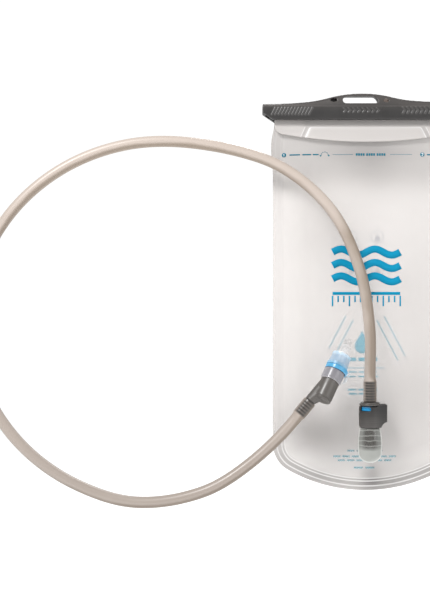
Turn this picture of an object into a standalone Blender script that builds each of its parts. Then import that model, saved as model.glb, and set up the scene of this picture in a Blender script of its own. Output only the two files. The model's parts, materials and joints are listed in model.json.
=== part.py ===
"""Hydration bladder: a soft two litre reservoir with a slide-on top closure, a shut-off port,
a plug-in drink tube and a twist-to-close bite valve.

Metres, +Z up, the front faces -Y. The origin is the middle of the upper face of the hang slot,
where a hook carries the reservoir. The seam plane of the bag is y = 0.
"""
import math

import bmesh
import bpy
from mathutils import Matrix, Vector

MM = 0.001
GAP = 0.3 * MM
MERGE = 0.00001
ROUND_STEPS = 20
FINE_ROUND_STEPS = 12

# Bag: two films of one width, welded along a rounded bottom and two straight sides.
FILM = 0.4 * MM
BAG_X = 4.2 * MM
BAG_HALF_WIDTH = 80.0 * MM
NECK_HALF_WIDTH = 78.5 * MM
BAG_BOTTOM = -341.0 * MM
BOTTOM_RADIUS = 136.0 * MM
CORNER_RADIUS = 26.0 * MM
WELD_WIDTH = 8.0 * MM
FRONT_BULGE = 9.0 * MM
BACK_BULGE = 6.0 * MM
SIDE_RISE = 34.0 * MM
BOTTOM_RISE = 60.0 * MM
TOP_RISE = 90.0 * MM
NECK_BLEND = 36.0 * MM

# Closure: the top of the bag folds forward over itself and hangs down as a flap.
NECK_Z = -24.0 * MM
FOLD_Z = -12.5 * MM
FRONT_FOLD = 1.0 * MM
BACK_FOLD = 1.7 * MM
FLAP_BOTTOM = -39.7 * MM
FLAP_RADIUS = 364.0 * MM
FLAP_CORNER = 8.0 * MM
FLAP_STEP = 0.8 * MM
FLAP_STEP_REACH = 6.0 * MM
RAIL_THICK = 1.7 * MM
RAIL_TOP = -13.0 * MM
RAIL_BOTTOM = -17.9 * MM
RAIL_BEVEL = 0.35 * MM

# Film grid: rows crowd towards the bottom weld and columns towards the sides.
BODY_ROWS = 18
ROW_CROWDING = 1.3
FOLD_ROWS = 6
FLAP_ROWS = 4
FILM_COLUMNS = 16

# Stiffener: a thin plate between the flap and the bag.
STIFFENER_THICK = 0.6 * MM
STIFFENER_TOP_HALF = 47.0 * MM
STIFFENER_SPREAD = 6.0 * MM
STIFFENER_INSET = 2.0 * MM
STIFFENER_COLUMNS = 12
STIFFENER_ROWS = 4

# Slider: a C-channel, closed at its left end, with a raised handle.
SLIDER_HALF = 84.7 * MM
SLIDER_HALF_DEPTH = 6.5 * MM
SLIDER_SHOULDER = 2.0 * MM
SLIDER_EDGE = 0.8 * MM
CHANNEL_HALF = 4.2 * MM
CHANNEL_TOP = -10.0 * MM
MOUTH_HALF = 2.3 * MM
LIP_TOP = -18.2 * MM
FRONT_LIP = -20.3 * MM
BACK_LIP = -22.5 * MM
BLOCK_TOP = -7.4 * MM
END_WALL = 2.5 * MM
END_CUT = Vector((-80.0, 0.0, -17.8)) * MM
END_CUT_ANGLE = 34.0
END_CUT_SIZE = 12.0 * MM

# Handle outline, slot and the two blind cord recesses beside the slot.
HANDLE_HALF_DEPTH = 3.5 * MM
HANDLE_FOOT = -9.0 * MM
HANDLE_TOP = [
    (-84.7, -6.7), (-70.0, -6.4), (-60.0, -6.0), (-50.0, -5.25), (-44.8, -4.75), (-39.6, -4.0),
    (-34.4, -3.0), (-29.2, -1.75), (-24.0, -0.4), (-18.8, 0.65), (-13.6, 1.5), (-8.4, 2.05),
    (-3.2, 2.35), (2.0, 2.45), (7.2, 2.35), (12.4, 1.9), (17.7, 1.2), (22.9, 0.3),
    (28.1, -0.95), (33.3, -2.1), (38.5, -3.0), (43.7, -3.6), (48.9, -3.95), (54.1, -4.3),
    (60.0, -4.55), (70.0, -5.3), (84.7, -6.7),
]
SLOT_HALF = 15.5 * MM
SLOT_HEIGHT = 6.1 * MM
SLOT_SLANT = [
    (12.9, -6.1), (14.3, -5.6), (15.1, -4.5), (14.8, -3.1), (13.3, -1.3), (12.1, -0.4), (10.6, 0.0),
]
LEFT_RECESS = Vector((-23.2, 1.5, -3.1)) * MM
LEFT_RECESS_SIZE = (3.0 * MM, 1.7 * MM)
RIGHT_RECESS = Vector((21.8, -1.5, -3.9)) * MM
RIGHT_RECESS_SIZE = (2.4 * MM, 1.3 * MM)

# Port: a neck out of the front film, then a socket that points down, left and forward.
PORT = Vector((-13.3, -18.5, -213.1)) * MM
PORT_AXIS = Vector((-0.4324, -0.342, -0.8347)).normalized()
BUTTON_SIDE = Vector((0.888, 0.0, -0.46)).normalized()
BARREL_R = 8.0 * MM
BARREL_WAIST = 12.0 * MM
BARREL_FOOT = 21.0 * MM
NECK_R = 7.7 * MM
INLET_R = 4.2 * MM
INLET_REACH = 20.0 * MM
FLANGE_R = 16.0 * MM
FLANGE_THICK = 1.5 * MM
SOCKET_BORE = 5.2 * MM
SLEEVE_R = 8.8 * MM
GROOVE_R = 7.4 * MM
GROOVE_START = 24.0 * MM
GROOVE_END = 28.0 * MM
RIM = 37.4 * MM

# Shut-off: a sprung poppet that the plug lifts from its seat.
SEAT_TOP = 9.0 * MM
SEAT_HEIGHT = 1.9 * MM
SEAT_HOLE_R = 3.0 * MM
POPPET_TOP = 3.0 * MM
POPPET_FOOT = 4.7 * MM
POPPET_R = 4.4 * MM
POPPET_STEM_R = 1.4 * MM
POPPET_SEAL_R = 3.8 * MM
POPPET_SEAL_WIRE = 0.5 * MM
SPRING_R = 2.9 * MM
SPRING_WIRE = 0.3 * MM
SPRING_LOW = -2.4 * MM
SPRING_HIGH = 3.3 * MM
SPRING_TURNS = 4

# Release button: an off-centre collar in the socket's groove, with a thumb tab.
BUTTON_R = 9.7 * MM
BUTTON_TRAVEL = 1.5 * MM
TAB_HALF = 4.5 * MM
TAB_THICK = 1.6 * MM
TAB_FOOT = 33.0 * MM
BRIDGE_HALF = 4.0 * MM

# Plug: a tip with two seals, then a wide body.
PLUG_TIP = 19.0 * MM
PLUG_TIP_R = 4.8 * MM
PLUG_R = 7.8 * MM
PLUG_EDGE = 0.9 * MM
PLUG_END = 55.9 * MM
PLUG_BORE = 2.6 * MM
PLUG_BORE_END = 48.0 * MM
SEAL_GROOVES = [20.4 * MM, 24.2 * MM]
SEAL_GROOVE_R = 3.5 * MM
SEAL_GROOVE_WIDTH = 2.0 * MM
SEAL_R = 4.4 * MM
SEAL_WIRE = 0.6 * MM

# Elbow arm: leaves the side of the plug and carries the tube.
ARM_END = Vector((-46.6, -35.5, -260.3)) * MM
ARM_AXIS = Vector((-0.64, -0.05, -0.77)).normalized()
ARM_R = 4.6 * MM
ARM_ROOT_R = 3.6 * MM
ARM_LENGTH = 18.0 * MM
BARB_LENGTH = 15.0 * MM
BARB_RIDGES = 5
BARB_R = 2.9 * MM
BARB_ROOT_R = 2.4 * MM
BARB_BORE = 1.7 * MM

# Drink tube: 9.5 mm outside, 6.4 mm inside, a round loop to the left of the bag.
TUBE_R = 4.75 * MM
TUBE_WALL = 1.55 * MM
TUBE_START = 17.0 * MM
TUBE_END = 20.0 * MM
LOW_KNOTS = [Vector((-97.5, -40.5, -312.0)) * MM, Vector((-137.5, -44.5, -335.0)) * MM]
LOOP_CENTRE = Vector((-168.5, 0.0, -192.5)) * MM
LOOP_RADIUS_X = 161.0 * MM
LOOP_RADIUS_Z = 151.5 * MM
LOOP_LOW_Y = -47.0 * MM
LOOP_HIGH_Y = -17.5 * MM
LOOP_FIRST = -98.0
LOOP_LAST = -278.0
LOOP_STEPS = 10
HIGH_KNOTS = [
    Vector((-87.6, -16.0, -54.8)) * MM,
    Vector((-52.2, -16.5, -74.3)) * MM,
    Vector((-22.3, -19.5, -106.7)) * MM,
    Vector((-3.0, -23.5, -152.7)) * MM,
    Vector((4.6, -25.0, -200.0)) * MM,
]

# Bite valve: hangs upright in front of the bag. Heights are from the top of its flange.
VALVE = Vector((5.3, -21.5, -262.6)) * MM
CORE_R = 4.6 * MM
CORE_FOOT = -18.0 * MM
CORE_BORE_FOOT = -13.2 * MM
CORE_PORT_TOP = -10.2 * MM
CORE_PORT_HALF = 1.4 * MM
CORE_BARB = 18.0 * MM
CORE_BARB_RIDGES = 6
CORE_GROOVE_R = 3.3 * MM
CORE_GROOVES = [-7.2 * MM, -15.0 * MM]
CORE_GROOVE_WIDTH = 1.9 * MM
CORE_SEAL_R = 4.15 * MM
CORE_SEAL_WIRE = 0.55 * MM
FLANGE_TOP_R = 8.2 * MM
FLANGE_RIM_R = 9.1 * MM
FLANGE_STEP = -1.1 * MM
FLANGE_RIM = -1.4 * MM
FLANGE_FOOT = -2.6 * MM
INDICATOR_R = 7.3 * MM
INDICATOR_START = 195
INDICATOR_END = 275
INDICATOR_HALF_HEIGHT = 1.9 * MM
INDICATOR_Z = -5.0 * MM

VALVE_R = 9.3 * MM
BODY_TOP = -3.2 * MM
BODY_BOTTOM = -21.4 * MM
BODY_EDGE = 0.6 * MM
BODY_FOOT_EDGE = 0.8 * MM
BODY_FLOOR = 1.6 * MM
TOP_BORE_R = 7.7 * MM
TOP_BORE_FOOT = -7.0 * MM
SPINDLE_PLAY = 0.55 * MM
STEM_BOTTOM = -38.4 * MM
STEM_R = 7.0 * MM
STEM_TAPER = 0.55 * MM
STEM_RIBS = 4
STEM_RIB_DEPTH = 0.9 * MM
STEM_FOOT_R = 4.0 * MM
STEM_BORE_R = 2.5 * MM
CHANNEL_R = 1.4 * MM
CHANNEL_HEAD = -9.8 * MM
WING_REACH = 14.0 * MM
WING_HALF_DEPTH = 3.6 * MM
WING_ROOT = 7.5 * MM
WING_CHAMFER = 1.5 * MM
WING_SCOOP_R = 5.5 * MM
WINDOW_LOW = Vector((-8.3, -12.0, -6.6)) * MM
WINDOW_HIGH = Vector((-0.5, -2.0, -4.4)) * MM

SHEATH_TOP_R = 9.0 * MM
SHEATH_TIP = -51.5 * MM
SHEATH_WALL = 1.6 * MM
SHEATH_DOME_R = 9.95 * MM
SHEATH_DOME_HEIGHT = 8.6 * MM
SHEATH_EDGE = 0.1 * MM
SHEATH_SHELL = [(9.0, -2.5), (9.8, -8.0), (10.2, -14.0)]
SLIT_HALF = Vector((4.0, 0.2)) * MM
SLIT_HEIGHT = 4.0 * MM


def clear_scene():
    for thing in list(bpy.data.objects):
        bpy.data.objects.remove(thing, do_unlink=True)


def make_collection(name):
    group = bpy.data.collections.new(name)
    bpy.context.scene.collection.children.link(group)
    return group


def make_material(name, colour, roughness, alpha=1.0):
    material = bpy.data.materials.new(name)
    material.use_nodes = True
    shader = material.node_tree.nodes["Principled BSDF"]
    shader.inputs["Base Color"].default_value = (*colour, 1.0)
    shader.inputs["Roughness"].default_value = roughness
    shader.inputs["Alpha"].default_value = alpha
    material.diffuse_color = (*colour, alpha)
    return material


def add_object(name, data, group, parent=None):
    thing = bpy.data.objects.new(name, data)
    group.objects.link(thing)
    thing.parent = parent
    return thing


def finish(thing, material):
    """Give a part its own material and smooth shading with crisp edges."""
    thing.data.materials.clear()
    thing.data.materials.append(material)
    thing.data.shade_smooth()
    thing.data.set_sharp_from_angle(angle=math.radians(35.0))
    return thing


def add_axis(name, place, up, side):
    """An empty whose local Z is up and whose local X is side."""
    axis = add_object(name, None, PARTS)
    across = up.cross(side).normalized()
    turn = Matrix((side, across, up)).transposed()
    axis.matrix_world = Matrix.Translation(place) @ turn.to_4x4()
    return axis


def arc(centre, radius, start, end, count):
    """Points on an arc, angles in degrees."""
    points = []
    for index in range(count + 1):
        angle = math.radians(start + (end - start) * index / count)
        points.append((centre[0] + radius * math.cos(angle), centre[1] + radius * math.sin(angle)))
    return points


def turned(name, profile, group, parent=None, closed=False):
    """A profile of (radius, height) points turned about local Z."""
    mesh = bpy.data.meshes.new(name)
    edges = [(i, i + 1) for i in range(len(profile) - 1)]
    if closed:
        edges.append((len(profile) - 1, 0))
    mesh.from_pydata([(r, 0.0, z) for r, z in profile], edges, [])
    thing = add_object(name, mesh, group, parent)
    screw = thing.modifiers.new("Turn", "SCREW")
    screw.axis = "Z"
    screw.steps = ROUND_STEPS
    screw.render_steps = ROUND_STEPS
    screw.use_merge_vertices = True
    screw.merge_threshold = MERGE
    return settle(thing)


def settle(thing):
    """Turn a curve or modified object into a plain closed mesh in the same place."""
    bpy.context.view_layer.update()
    graph = bpy.context.evaluated_depsgraph_get()
    mesh = bpy.data.meshes.new_from_object(thing.evaluated_get(graph))
    shape = bmesh.new()
    shape.from_mesh(mesh)
    bmesh.ops.remove_doubles(shape, verts=shape.verts, dist=MERGE)
    bmesh.ops.recalc_face_normals(shape, faces=shape.faces)
    shape.to_mesh(mesh)
    shape.free()
    name = thing.name
    group = thing.users_collection[0]
    parent = thing.parent
    place = thing.matrix_world.copy()
    bpy.data.objects.remove(thing, do_unlink=True)
    mesh.name = name
    plain = add_object(name, mesh, group, parent)
    plain.matrix_world = place
    return plain


def flat_outline(name, outlines, half_depth, group):
    """2D outlines filled and extruded; the first is the edge, the others are holes."""
    curve = bpy.data.curves.new(name, "CURVE")
    curve.dimensions = "2D"
    curve.fill_mode = "BOTH"
    curve.extrude = half_depth
    for points in outlines:
        spline = curve.splines.new("POLY")
        spline.points.add(len(points) - 1)
        for point, (x, y) in zip(spline.points, points):
            point.co = (x, y, 0.0, 1.0)
        spline.use_cyclic_u = True
    return add_object(name, curve, group)


def block(name, low, high, group, parent=None):
    """A box between two corners in its parent's space."""
    shape = bmesh.new()
    bmesh.ops.create_cube(shape, size=1.0)
    low = Vector(low)
    high = Vector(high)
    for vert in shape.verts:
        share = vert.co + Vector((0.5, 0.5, 0.5))
        vert.co = Vector([low[k] + (high[k] - low[k]) * share[k] for k in range(3)])
    mesh = bpy.data.meshes.new(name)
    shape.to_mesh(mesh)
    shape.free()
    return add_object(name, mesh, group, parent)


def rod(name, radius, low, high, parent=None, steps=ROUND_STEPS):
    """A cutting cylinder along local Z between two heights."""
    shape = bmesh.new()
    bmesh.ops.create_cone(shape, cap_ends=True, segments=steps, radius1=radius, radius2=radius,
                          depth=high - low)
    bmesh.ops.translate(shape, verts=shape.verts, vec=(0.0, 0.0, (low + high) / 2))
    mesh = bpy.data.meshes.new(name)
    shape.to_mesh(mesh)
    shape.free()
    return add_object(name, mesh, CUTTERS, parent)


def combine(thing, other, operation):
    """Boolean with a helper object from the cutters."""
    other.hide_render = True
    other.display_type = "WIRE"
    boolean = thing.modifiers.new(other.name, "BOOLEAN")
    boolean.operation = operation
    boolean.solver = "EXACT"
    boolean.object = other
    return thing


def cut(thing, other):
    return combine(thing, other, "DIFFERENCE")


def fuse(thing, other):
    return combine(thing, other, "UNION")


def seal_ring(name, radius, wire, height, parent):
    """A rubber O-ring at a height on its parent's axis."""
    bpy.ops.mesh.primitive_torus_add(major_radius=radius, minor_radius=wire,
                                     major_segments=ROUND_STEPS, minor_segments=6)
    ring = bpy.context.active_object
    ring.name = name
    ring.data.name = name
    for group in list(ring.users_collection):
        group.objects.unlink(ring)
    PARTS.objects.link(ring)
    ring.parent = parent
    ring.location = (0.0, 0.0, height)
    return finish(ring, make_material(name, (0.03, 0.03, 0.03), 0.6))


def ease(share):
    """Smooth step from 0 to 1."""
    share = min(max(share, 0.0), 1.0)
    return share * share * (3.0 - 2.0 * share)


def swell(distance, reach):
    """Film rise away from a weld: 0 at the weld, flat 1 beyond reach."""
    share = min(max(distance / reach, 0.0), 1.0)
    return 1.0 - (1.0 - share) ** 2


# ---- bag -------------------------------------------------------------------------------------

def bottom_edge(across):
    """Height of the bag's lower edge at a distance from its middle."""
    centre = BAG_BOTTOM + BOTTOM_RADIUS
    corner_x = BAG_HALF_WIDTH - CORNER_RADIUS
    spread = BOTTOM_RADIUS - CORNER_RADIUS
    corner_z = centre - math.sqrt(spread ** 2 - corner_x ** 2)
    touch = corner_x * BOTTOM_RADIUS / spread
    across = abs(across)
    if across <= touch:
        return centre - math.sqrt(BOTTOM_RADIUS ** 2 - across ** 2)
    inside = max(CORNER_RADIUS ** 2 - (across - corner_x) ** 2, 0.0)
    return corner_z - math.sqrt(inside)


def flap_edge(across):
    """Height of the flap's lower edge: a long arc with round ends."""
    across = abs(across)
    start = NECK_HALF_WIDTH - FLAP_CORNER
    if across <= start:
        return FLAP_BOTTOM + across ** 2 / (2.0 * FLAP_RADIUS)
    inside = max(FLAP_CORNER ** 2 - (across - start) ** 2, 0.0)
    corner_z = FLAP_BOTTOM + start ** 2 / (2.0 * FLAP_RADIUS) + FLAP_CORNER
    return corner_z - math.sqrt(inside)


def film_y(across, z, side):
    """Mid-film depth of the front (side -1) or back (side +1) panel below the neck."""
    rise = swell(BAG_HALF_WIDTH - abs(across) - WELD_WIDTH, SIDE_RISE)
    rise *= swell(z - bottom_edge(across) - WELD_WIDTH, BOTTOM_RISE)
    rise *= swell(NECK_Z - z, TOP_RISE)
    bulge = FRONT_BULGE if side < 0 else BACK_BULGE
    neck_middle = (FRONT_FOLD + BACK_FOLD) / 2
    middle = neck_middle * (1.0 - ease((NECK_Z - z) / NECK_BLEND))
    apart = (BACK_FOLD - FRONT_FOLD) / 2
    return middle + side * (apart + bulge * rise)


def flap_y(across, z, layer):
    """Mid-film depth of the flap; layer 0 is the front film, 1 the back film over it."""
    drop = 2.0 * FRONT_FOLD + FLAP_STEP * ease((NECK_Z - z) / FLAP_STEP_REACH)
    return film_y(across, z, -1) - drop - layer * (BACK_FOLD - FRONT_FOLD)


def film_stations(fold):
    """Rows of a film from the bottom weld over the fold to the flap's edge."""
    stations = [("body", (row / BODY_ROWS) ** ROW_CROWDING) for row in range(BODY_ROWS + 1)]
    for y, z in arc((0.0, 0.0), fold, 0, 180, FOLD_ROWS):
        stations.append(("fold", (y, FOLD_Z + z)))
    stations += [("flap", row / FLAP_ROWS) for row in range(FLAP_ROWS + 1)]
    return stations


def film_place(station, share, side):
    """World point of a film at a station and a share of the half width."""
    kind, value = station
    spread = math.sin(share * math.pi / 2)
    if kind == "body":
        across = spread * BAG_HALF_WIDTH
        z = bottom_edge(across) + (NECK_Z - bottom_edge(across)) * value
        pinch = NECK_HALF_WIDTH / BAG_HALF_WIDTH
        narrow = 1.0 + (pinch - 1.0) * ease(1.0 - (NECK_Z - z) / NECK_BLEND)
        return (BAG_X + across * narrow, film_y(across, z, side), z)
    across = spread * NECK_HALF_WIDTH
    if kind == "fold":
        return (BAG_X + across, value[0], value[1])
    z = NECK_Z + (flap_edge(across) - NECK_Z) * value
    layer = 0 if side < 0 else 1
    return (BAG_X + across, flap_y(across, z, layer), z)


def sheet(name, columns, rows, place, thickness):
    """A grid laid out by place(share across, row) and thickened evenly."""
    shape = bmesh.new()
    bmesh.ops.create_grid(shape, x_segments=columns, y_segments=rows, size=1.0)
    for vert in shape.verts:
        row = round((vert.co.y + 1.0) / 2.0 * rows)
        vert.co = place(vert.co.x, row)
    mesh = bpy.data.meshes.new(name)
    shape.to_mesh(mesh)
    shape.free()
    thing = add_object(name, mesh, PARTS)
    solidify = thing.modifiers.new("Film", "SOLIDIFY")
    solidify.thickness = thickness
    solidify.offset = 0.0
    solidify.use_even_offset = False
    return thing


def build_film(name, side, fold):
    stations = film_stations(fold)
    thing = sheet(name, FILM_COLUMNS, len(stations) - 1,
                  lambda share, row: film_place(stations[row], share, side), FILM)
    return finish(thing, make_material(name, (0.86, 0.85, 0.83), 0.45, 0.55))


def build_front_panel():
    panel = build_film("front_panel", -1, FRONT_FOLD)
    hole = rod("neck_hole", NECK_R + GAP, -6.0 * MM, 6.0 * MM)
    hole.location = (PORT.x, -FRONT_BULGE, PORT.z)
    hole.rotation_euler = (math.radians(90.0), 0.0, 0.0)
    return cut(panel, hole)


def build_rail(name, side):
    inner = BACK_FOLD + FILM / 2 + GAP
    near = side * inner
    far = side * (inner + RAIL_THICK)
    rail = block(name, (BAG_X - NECK_HALF_WIDTH, min(near, far), RAIL_BOTTOM),
                 (BAG_X + NECK_HALF_WIDTH, max(near, far), RAIL_TOP), PARTS)
    bevel = rail.modifiers.new("Edges", "BEVEL")
    bevel.width = RAIL_BEVEL
    bevel.segments = 1
    return finish(rail, make_material(name, (0.80, 0.80, 0.79), 0.4))


def build_flap_stiffener():
    """A thin plate behind the flap, wider towards its lower edge."""
    top = NECK_Z - STIFFENER_INSET

    def place(share, row):
        drop = row / STIFFENER_ROWS
        across = share * (STIFFENER_TOP_HALF + STIFFENER_SPREAD * drop)
        foot = flap_edge(across) + STIFFENER_INSET
        z = top + (foot - top) * drop
        y = flap_y(across, z, 0) + FILM / 2 + GAP + STIFFENER_THICK / 2
        return (BAG_X + across, y, z)

    plate = sheet("flap_stiffener", STIFFENER_COLUMNS, STIFFENER_ROWS, place, STIFFENER_THICK)
    return finish(plate, make_material("stiffener", (0.92, 0.92, 0.92), 0.4))


# ---- slider ----------------------------------------------------------------------------------

def recess(name, floor, size):
    """A blind oval well sunk into the handle's front face as far as floor."""
    half_width, half_height = size
    oval = [(half_width * x, half_height * y) for x, y in arc((0, 0), 1, 0, 330, 11)]
    start = -HANDLE_HALF_DEPTH - MM
    well = flat_outline(name, [oval], (floor.y - start) / 2, CUTTERS)
    well.location = (floor.x, (floor.y + start) / 2, floor.z)
    well.rotation_euler = (math.radians(90.0), 0.0, 0.0)
    return settle(well)


def build_handle():
    """The raised grip, low at both ends and highest over the hang slot."""
    outline = [(-SLIDER_HALF, HANDLE_FOOT)] + [(x * MM, z * MM) for x, z in HANDLE_TOP]
    outline.append((SLIDER_HALF, HANDLE_FOOT))
    radius = SLOT_HEIGHT / 2
    slot = [(x * MM, z * MM) for x, z in SLOT_SLANT]
    slot += arc((-SLOT_HALF + radius, -radius), radius, 90, 270, 8)
    handle = flat_outline("handle", [outline, slot], HANDLE_HALF_DEPTH, CUTTERS)
    handle.rotation_euler = (math.radians(90.0), 0.0, 0.0)
    return settle(handle)


def build_slider():
    depth = SLIDER_HALF_DEPTH
    edge = SLIDER_EDGE
    flat = depth - SLIDER_SHOULDER
    shoulder = BLOCK_TOP - SLIDER_SHOULDER
    section = [
        (-flat, BLOCK_TOP), (flat, BLOCK_TOP), (depth, shoulder),
        (depth, BACK_LIP + edge), (depth - edge, BACK_LIP), (MOUTH_HALF, BACK_LIP),
        (MOUTH_HALF, LIP_TOP), (CHANNEL_HALF, LIP_TOP), (CHANNEL_HALF, CHANNEL_TOP),
        (-CHANNEL_HALF, CHANNEL_TOP), (-CHANNEL_HALF, LIP_TOP), (-MOUTH_HALF, LIP_TOP),
        (-MOUTH_HALF, FRONT_LIP), (-depth + edge, FRONT_LIP), (-depth, FRONT_LIP + edge),
        (-depth, shoulder),
    ]
    slider = flat_outline("slider", [section], SLIDER_HALF, PARTS)
    slider.rotation_euler = (math.radians(90.0), 0.0, math.radians(90.0))
    slider = settle(slider)
    wall = block("end_wall", (-SLIDER_HALF, -depth + edge, FRONT_LIP + edge),
                 (-SLIDER_HALF + END_WALL, depth - edge, BLOCK_TOP - edge), CUTTERS)
    size = END_CUT_SIZE
    corner = block("end_corner", (-size, -size, -size), (size, size, 0.0), CUTTERS)
    corner.location = END_CUT
    corner.rotation_euler = (0.0, math.radians(END_CUT_ANGLE), 0.0)
    fuse(slider, wall)
    fuse(slider, build_handle())
    cut(slider, corner)
    cut(slider, recess("left_recess", LEFT_RECESS, LEFT_RECESS_SIZE))
    cut(slider, recess("right_recess", RIGHT_RECESS, RIGHT_RECESS_SIZE))
    return finish(slider, make_material("slider_plastic", (0.105, 0.098, 0.096), 0.42))


# ---- port ------------------------------------------------------------------------------------

def build_port_body(axis):
    barrel = arc((0.0, 0.0), BARREL_R, 90, 0, 6)
    barrel += [(BARREL_R, -BARREL_WAIST), (SLEEVE_R, -BARREL_FOOT), (SLEEVE_R, -GROOVE_START),
               (GROOVE_R, -GROOVE_START), (GROOVE_R, -GROOVE_END), (SLEEVE_R, -GROOVE_END),
               (SLEEVE_R, -RIM), (0.0, -RIM)]
    port = turned("port_body", barrel, PARTS, axis)
    film_back = -FRONT_BULGE - (BACK_FOLD - FRONT_FOLD) / 2 + FILM / 2
    flange_front = film_back + GAP - PORT.y
    flange_back = flange_front + FLANGE_THICK
    flange = turned("flange", [(0.0, flange_back), (FLANGE_R, flange_back), (FLANGE_R, flange_front),
                               (NECK_R, flange_front), (NECK_R, 0.0), (0.0, 0.0)], CUTTERS)
    flange.location = PORT
    flange.rotation_euler = (math.radians(-90.0), 0.0, 0.0)
    bore = arc((0.0, 0.0), SOCKET_BORE, 90, 0, 5) + [(SOCKET_BORE, -RIM - MM), (0.0, -RIM - MM)]
    bore = turned("socket_bore", bore, CUTTERS, axis)
    inlet = rod("inlet_hole", INLET_R, 0.0, INLET_REACH)
    inlet.location = PORT
    inlet.rotation_euler = (math.radians(-90.0), 0.0, 0.0)
    fuse(port, flange)
    cut(port, inlet)
    cut(port, bore)
    return finish(port, make_material("port_plastic", (0.62, 0.74, 0.86), 0.35, 0.75))


def build_valve_seat(axis):
    outer = SOCKET_BORE - GAP
    foot = -SEAT_TOP - SEAT_HEIGHT
    ring = [(SEAT_HOLE_R, -SEAT_TOP), (outer, -SEAT_TOP), (outer, foot), (SEAT_HOLE_R, foot)]
    seat = turned("valve_seat", ring, PARTS, axis, closed=True)
    return finish(seat, make_material("seat_plastic", (0.75, 0.80, 0.85), 0.4))


def build_poppet(axis):
    tip = -PLUG_TIP + GAP
    profile = [(0.0, -POPPET_TOP), (POPPET_R, -POPPET_TOP), (POPPET_R, -POPPET_FOOT),
               (POPPET_STEM_R, -POPPET_FOOT), (POPPET_STEM_R, tip), (0.0, tip)]
    poppet = turned("poppet", profile, PARTS, axis)
    finish(poppet, make_material("poppet_plastic", (0.85, 0.86, 0.87), 0.4))
    seal_ring("poppet_seal", POPPET_SEAL_R, POPPET_SEAL_WIRE, -POPPET_FOOT - POPPET_SEAL_WIRE - GAP, axis)


def build_poppet_spring(axis):
    curve = bpy.data.curves.new("poppet_spring", "CURVE")
    curve.dimensions = "3D"
    curve.bevel_depth = SPRING_WIRE
    curve.bevel_resolution = 1
    curve.use_fill_caps = True
    count = SPRING_TURNS * FINE_ROUND_STEPS
    spline = curve.splines.new("POLY")
    spline.points.add(count)
    for index, point in enumerate(spline.points):
        angle = 2.0 * math.pi * index / FINE_ROUND_STEPS
        height = SPRING_LOW + (SPRING_HIGH - SPRING_LOW) * index / count
        point.co = (SPRING_R * math.cos(angle), SPRING_R * math.sin(angle), height, 1.0)
    spring = settle(add_object("poppet_spring", curve, PARTS, axis))
    return finish(spring, make_material("spring_steel", (0.6, 0.6, 0.6), 0.3))


def build_release_button(axis):
    """A collar set off its socket by half its travel, with a thumb tab on the button side."""
    offset = BUTTON_TRAVEL / 2
    inner = GROOVE_R + GAP + offset
    top = -GROOVE_START - GAP
    foot = -GROOVE_END + GAP
    collar = turned("release_button", [(inner, top), (BUTTON_R, top), (BUTTON_R, foot), (inner, foot)],
                    PARTS, axis, closed=True)
    collar.location = (offset, 0.0, 0.0)
    tab_in = SLEEVE_R + GAP + BUTTON_TRAVEL
    tab_out = tab_in + TAB_THICK
    bridge = block("tab_bridge", (BUTTON_R - 2.0 * GAP, -BRIDGE_HALF, foot),
                   (tab_out - GAP, BRIDGE_HALF, top), CUTTERS, axis)
    tab = block("tab_pad", (tab_in, -TAB_HALF, -TAB_FOOT),
                (tab_out, TAB_HALF, top - 2.0 * GAP), CUTTERS, axis)
    fuse(collar, bridge)
    fuse(collar, tab)
    return finish(collar, make_material("button_blue", (0.12, 0.50, 0.86), 0.35))


# ---- drink tube ------------------------------------------------------------------------------

def barb(top, length, ridges):
    """Profile of a ridged barb that runs down from top, sharp side towards its foot."""
    points = []
    pitch = length / ridges
    for index in range(ridges):
        start = top - index * pitch
        points += [(BARB_ROOT_R, start), (BARB_R, start - 0.35 * pitch), (BARB_ROOT_R, start - 0.95 * pitch)]
    return points


def grooves(radius, floor, starts, width):
    """Profile of seal grooves in a round shaft."""
    points = []
    for start in starts:
        points += [(radius, start), (floor, start), (floor, start - width), (radius, start - width)]
    return points


def build_plug_elbow(axis):
    profile = [(0.0, -PLUG_BORE_END), (PLUG_BORE, -PLUG_BORE_END), (PLUG_BORE, -PLUG_TIP),
               (PLUG_TIP_R, -PLUG_TIP)]
    profile += grooves(PLUG_TIP_R, SEAL_GROOVE_R, [-start for start in SEAL_GROOVES], SEAL_GROOVE_WIDTH)
    profile += [(PLUG_TIP_R, -RIM - GAP), (PLUG_R, -RIM - GAP), (PLUG_R, -PLUG_END + PLUG_EDGE),
                (PLUG_R - PLUG_EDGE, -PLUG_END), (0.0, -PLUG_END)]
    plug = turned("plug_elbow", profile, PARTS, axis)
    arm_axis = add_axis("arm_axis", ARM_END, -ARM_AXIS, ARM_AXIS.cross(Vector((0.0, 1.0, 0.0))).normalized())
    barb_end = -0.95 * BARB_LENGTH - 0.5 * MM
    arm_profile = [(0.0, ARM_LENGTH), (ARM_ROOT_R, ARM_LENGTH), (ARM_R, ARM_LENGTH - MM), (ARM_R, 0.0)]
    arm_profile += barb(0.0, BARB_LENGTH, BARB_RIDGES) + [(0.0, barb_end)]
    arm = turned("elbow_arm", arm_profile, CUTTERS, arm_axis)
    arm_bore = rod("arm_bore", BARB_BORE, barb_end - MM, ARM_LENGTH + MM, arm_axis, FINE_ROUND_STEPS)
    fuse(plug, arm)
    cut(plug, arm_bore)
    finish(plug, make_material("elbow_plastic", (0.13, 0.125, 0.12), 0.4))
    for name, start in zip(("plug_seal_tip", "plug_seal_rear"), SEAL_GROOVES):
        seal_ring(name, SEAL_R, SEAL_WIRE, -start - SEAL_GROOVE_WIDTH / 2, axis)


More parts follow.
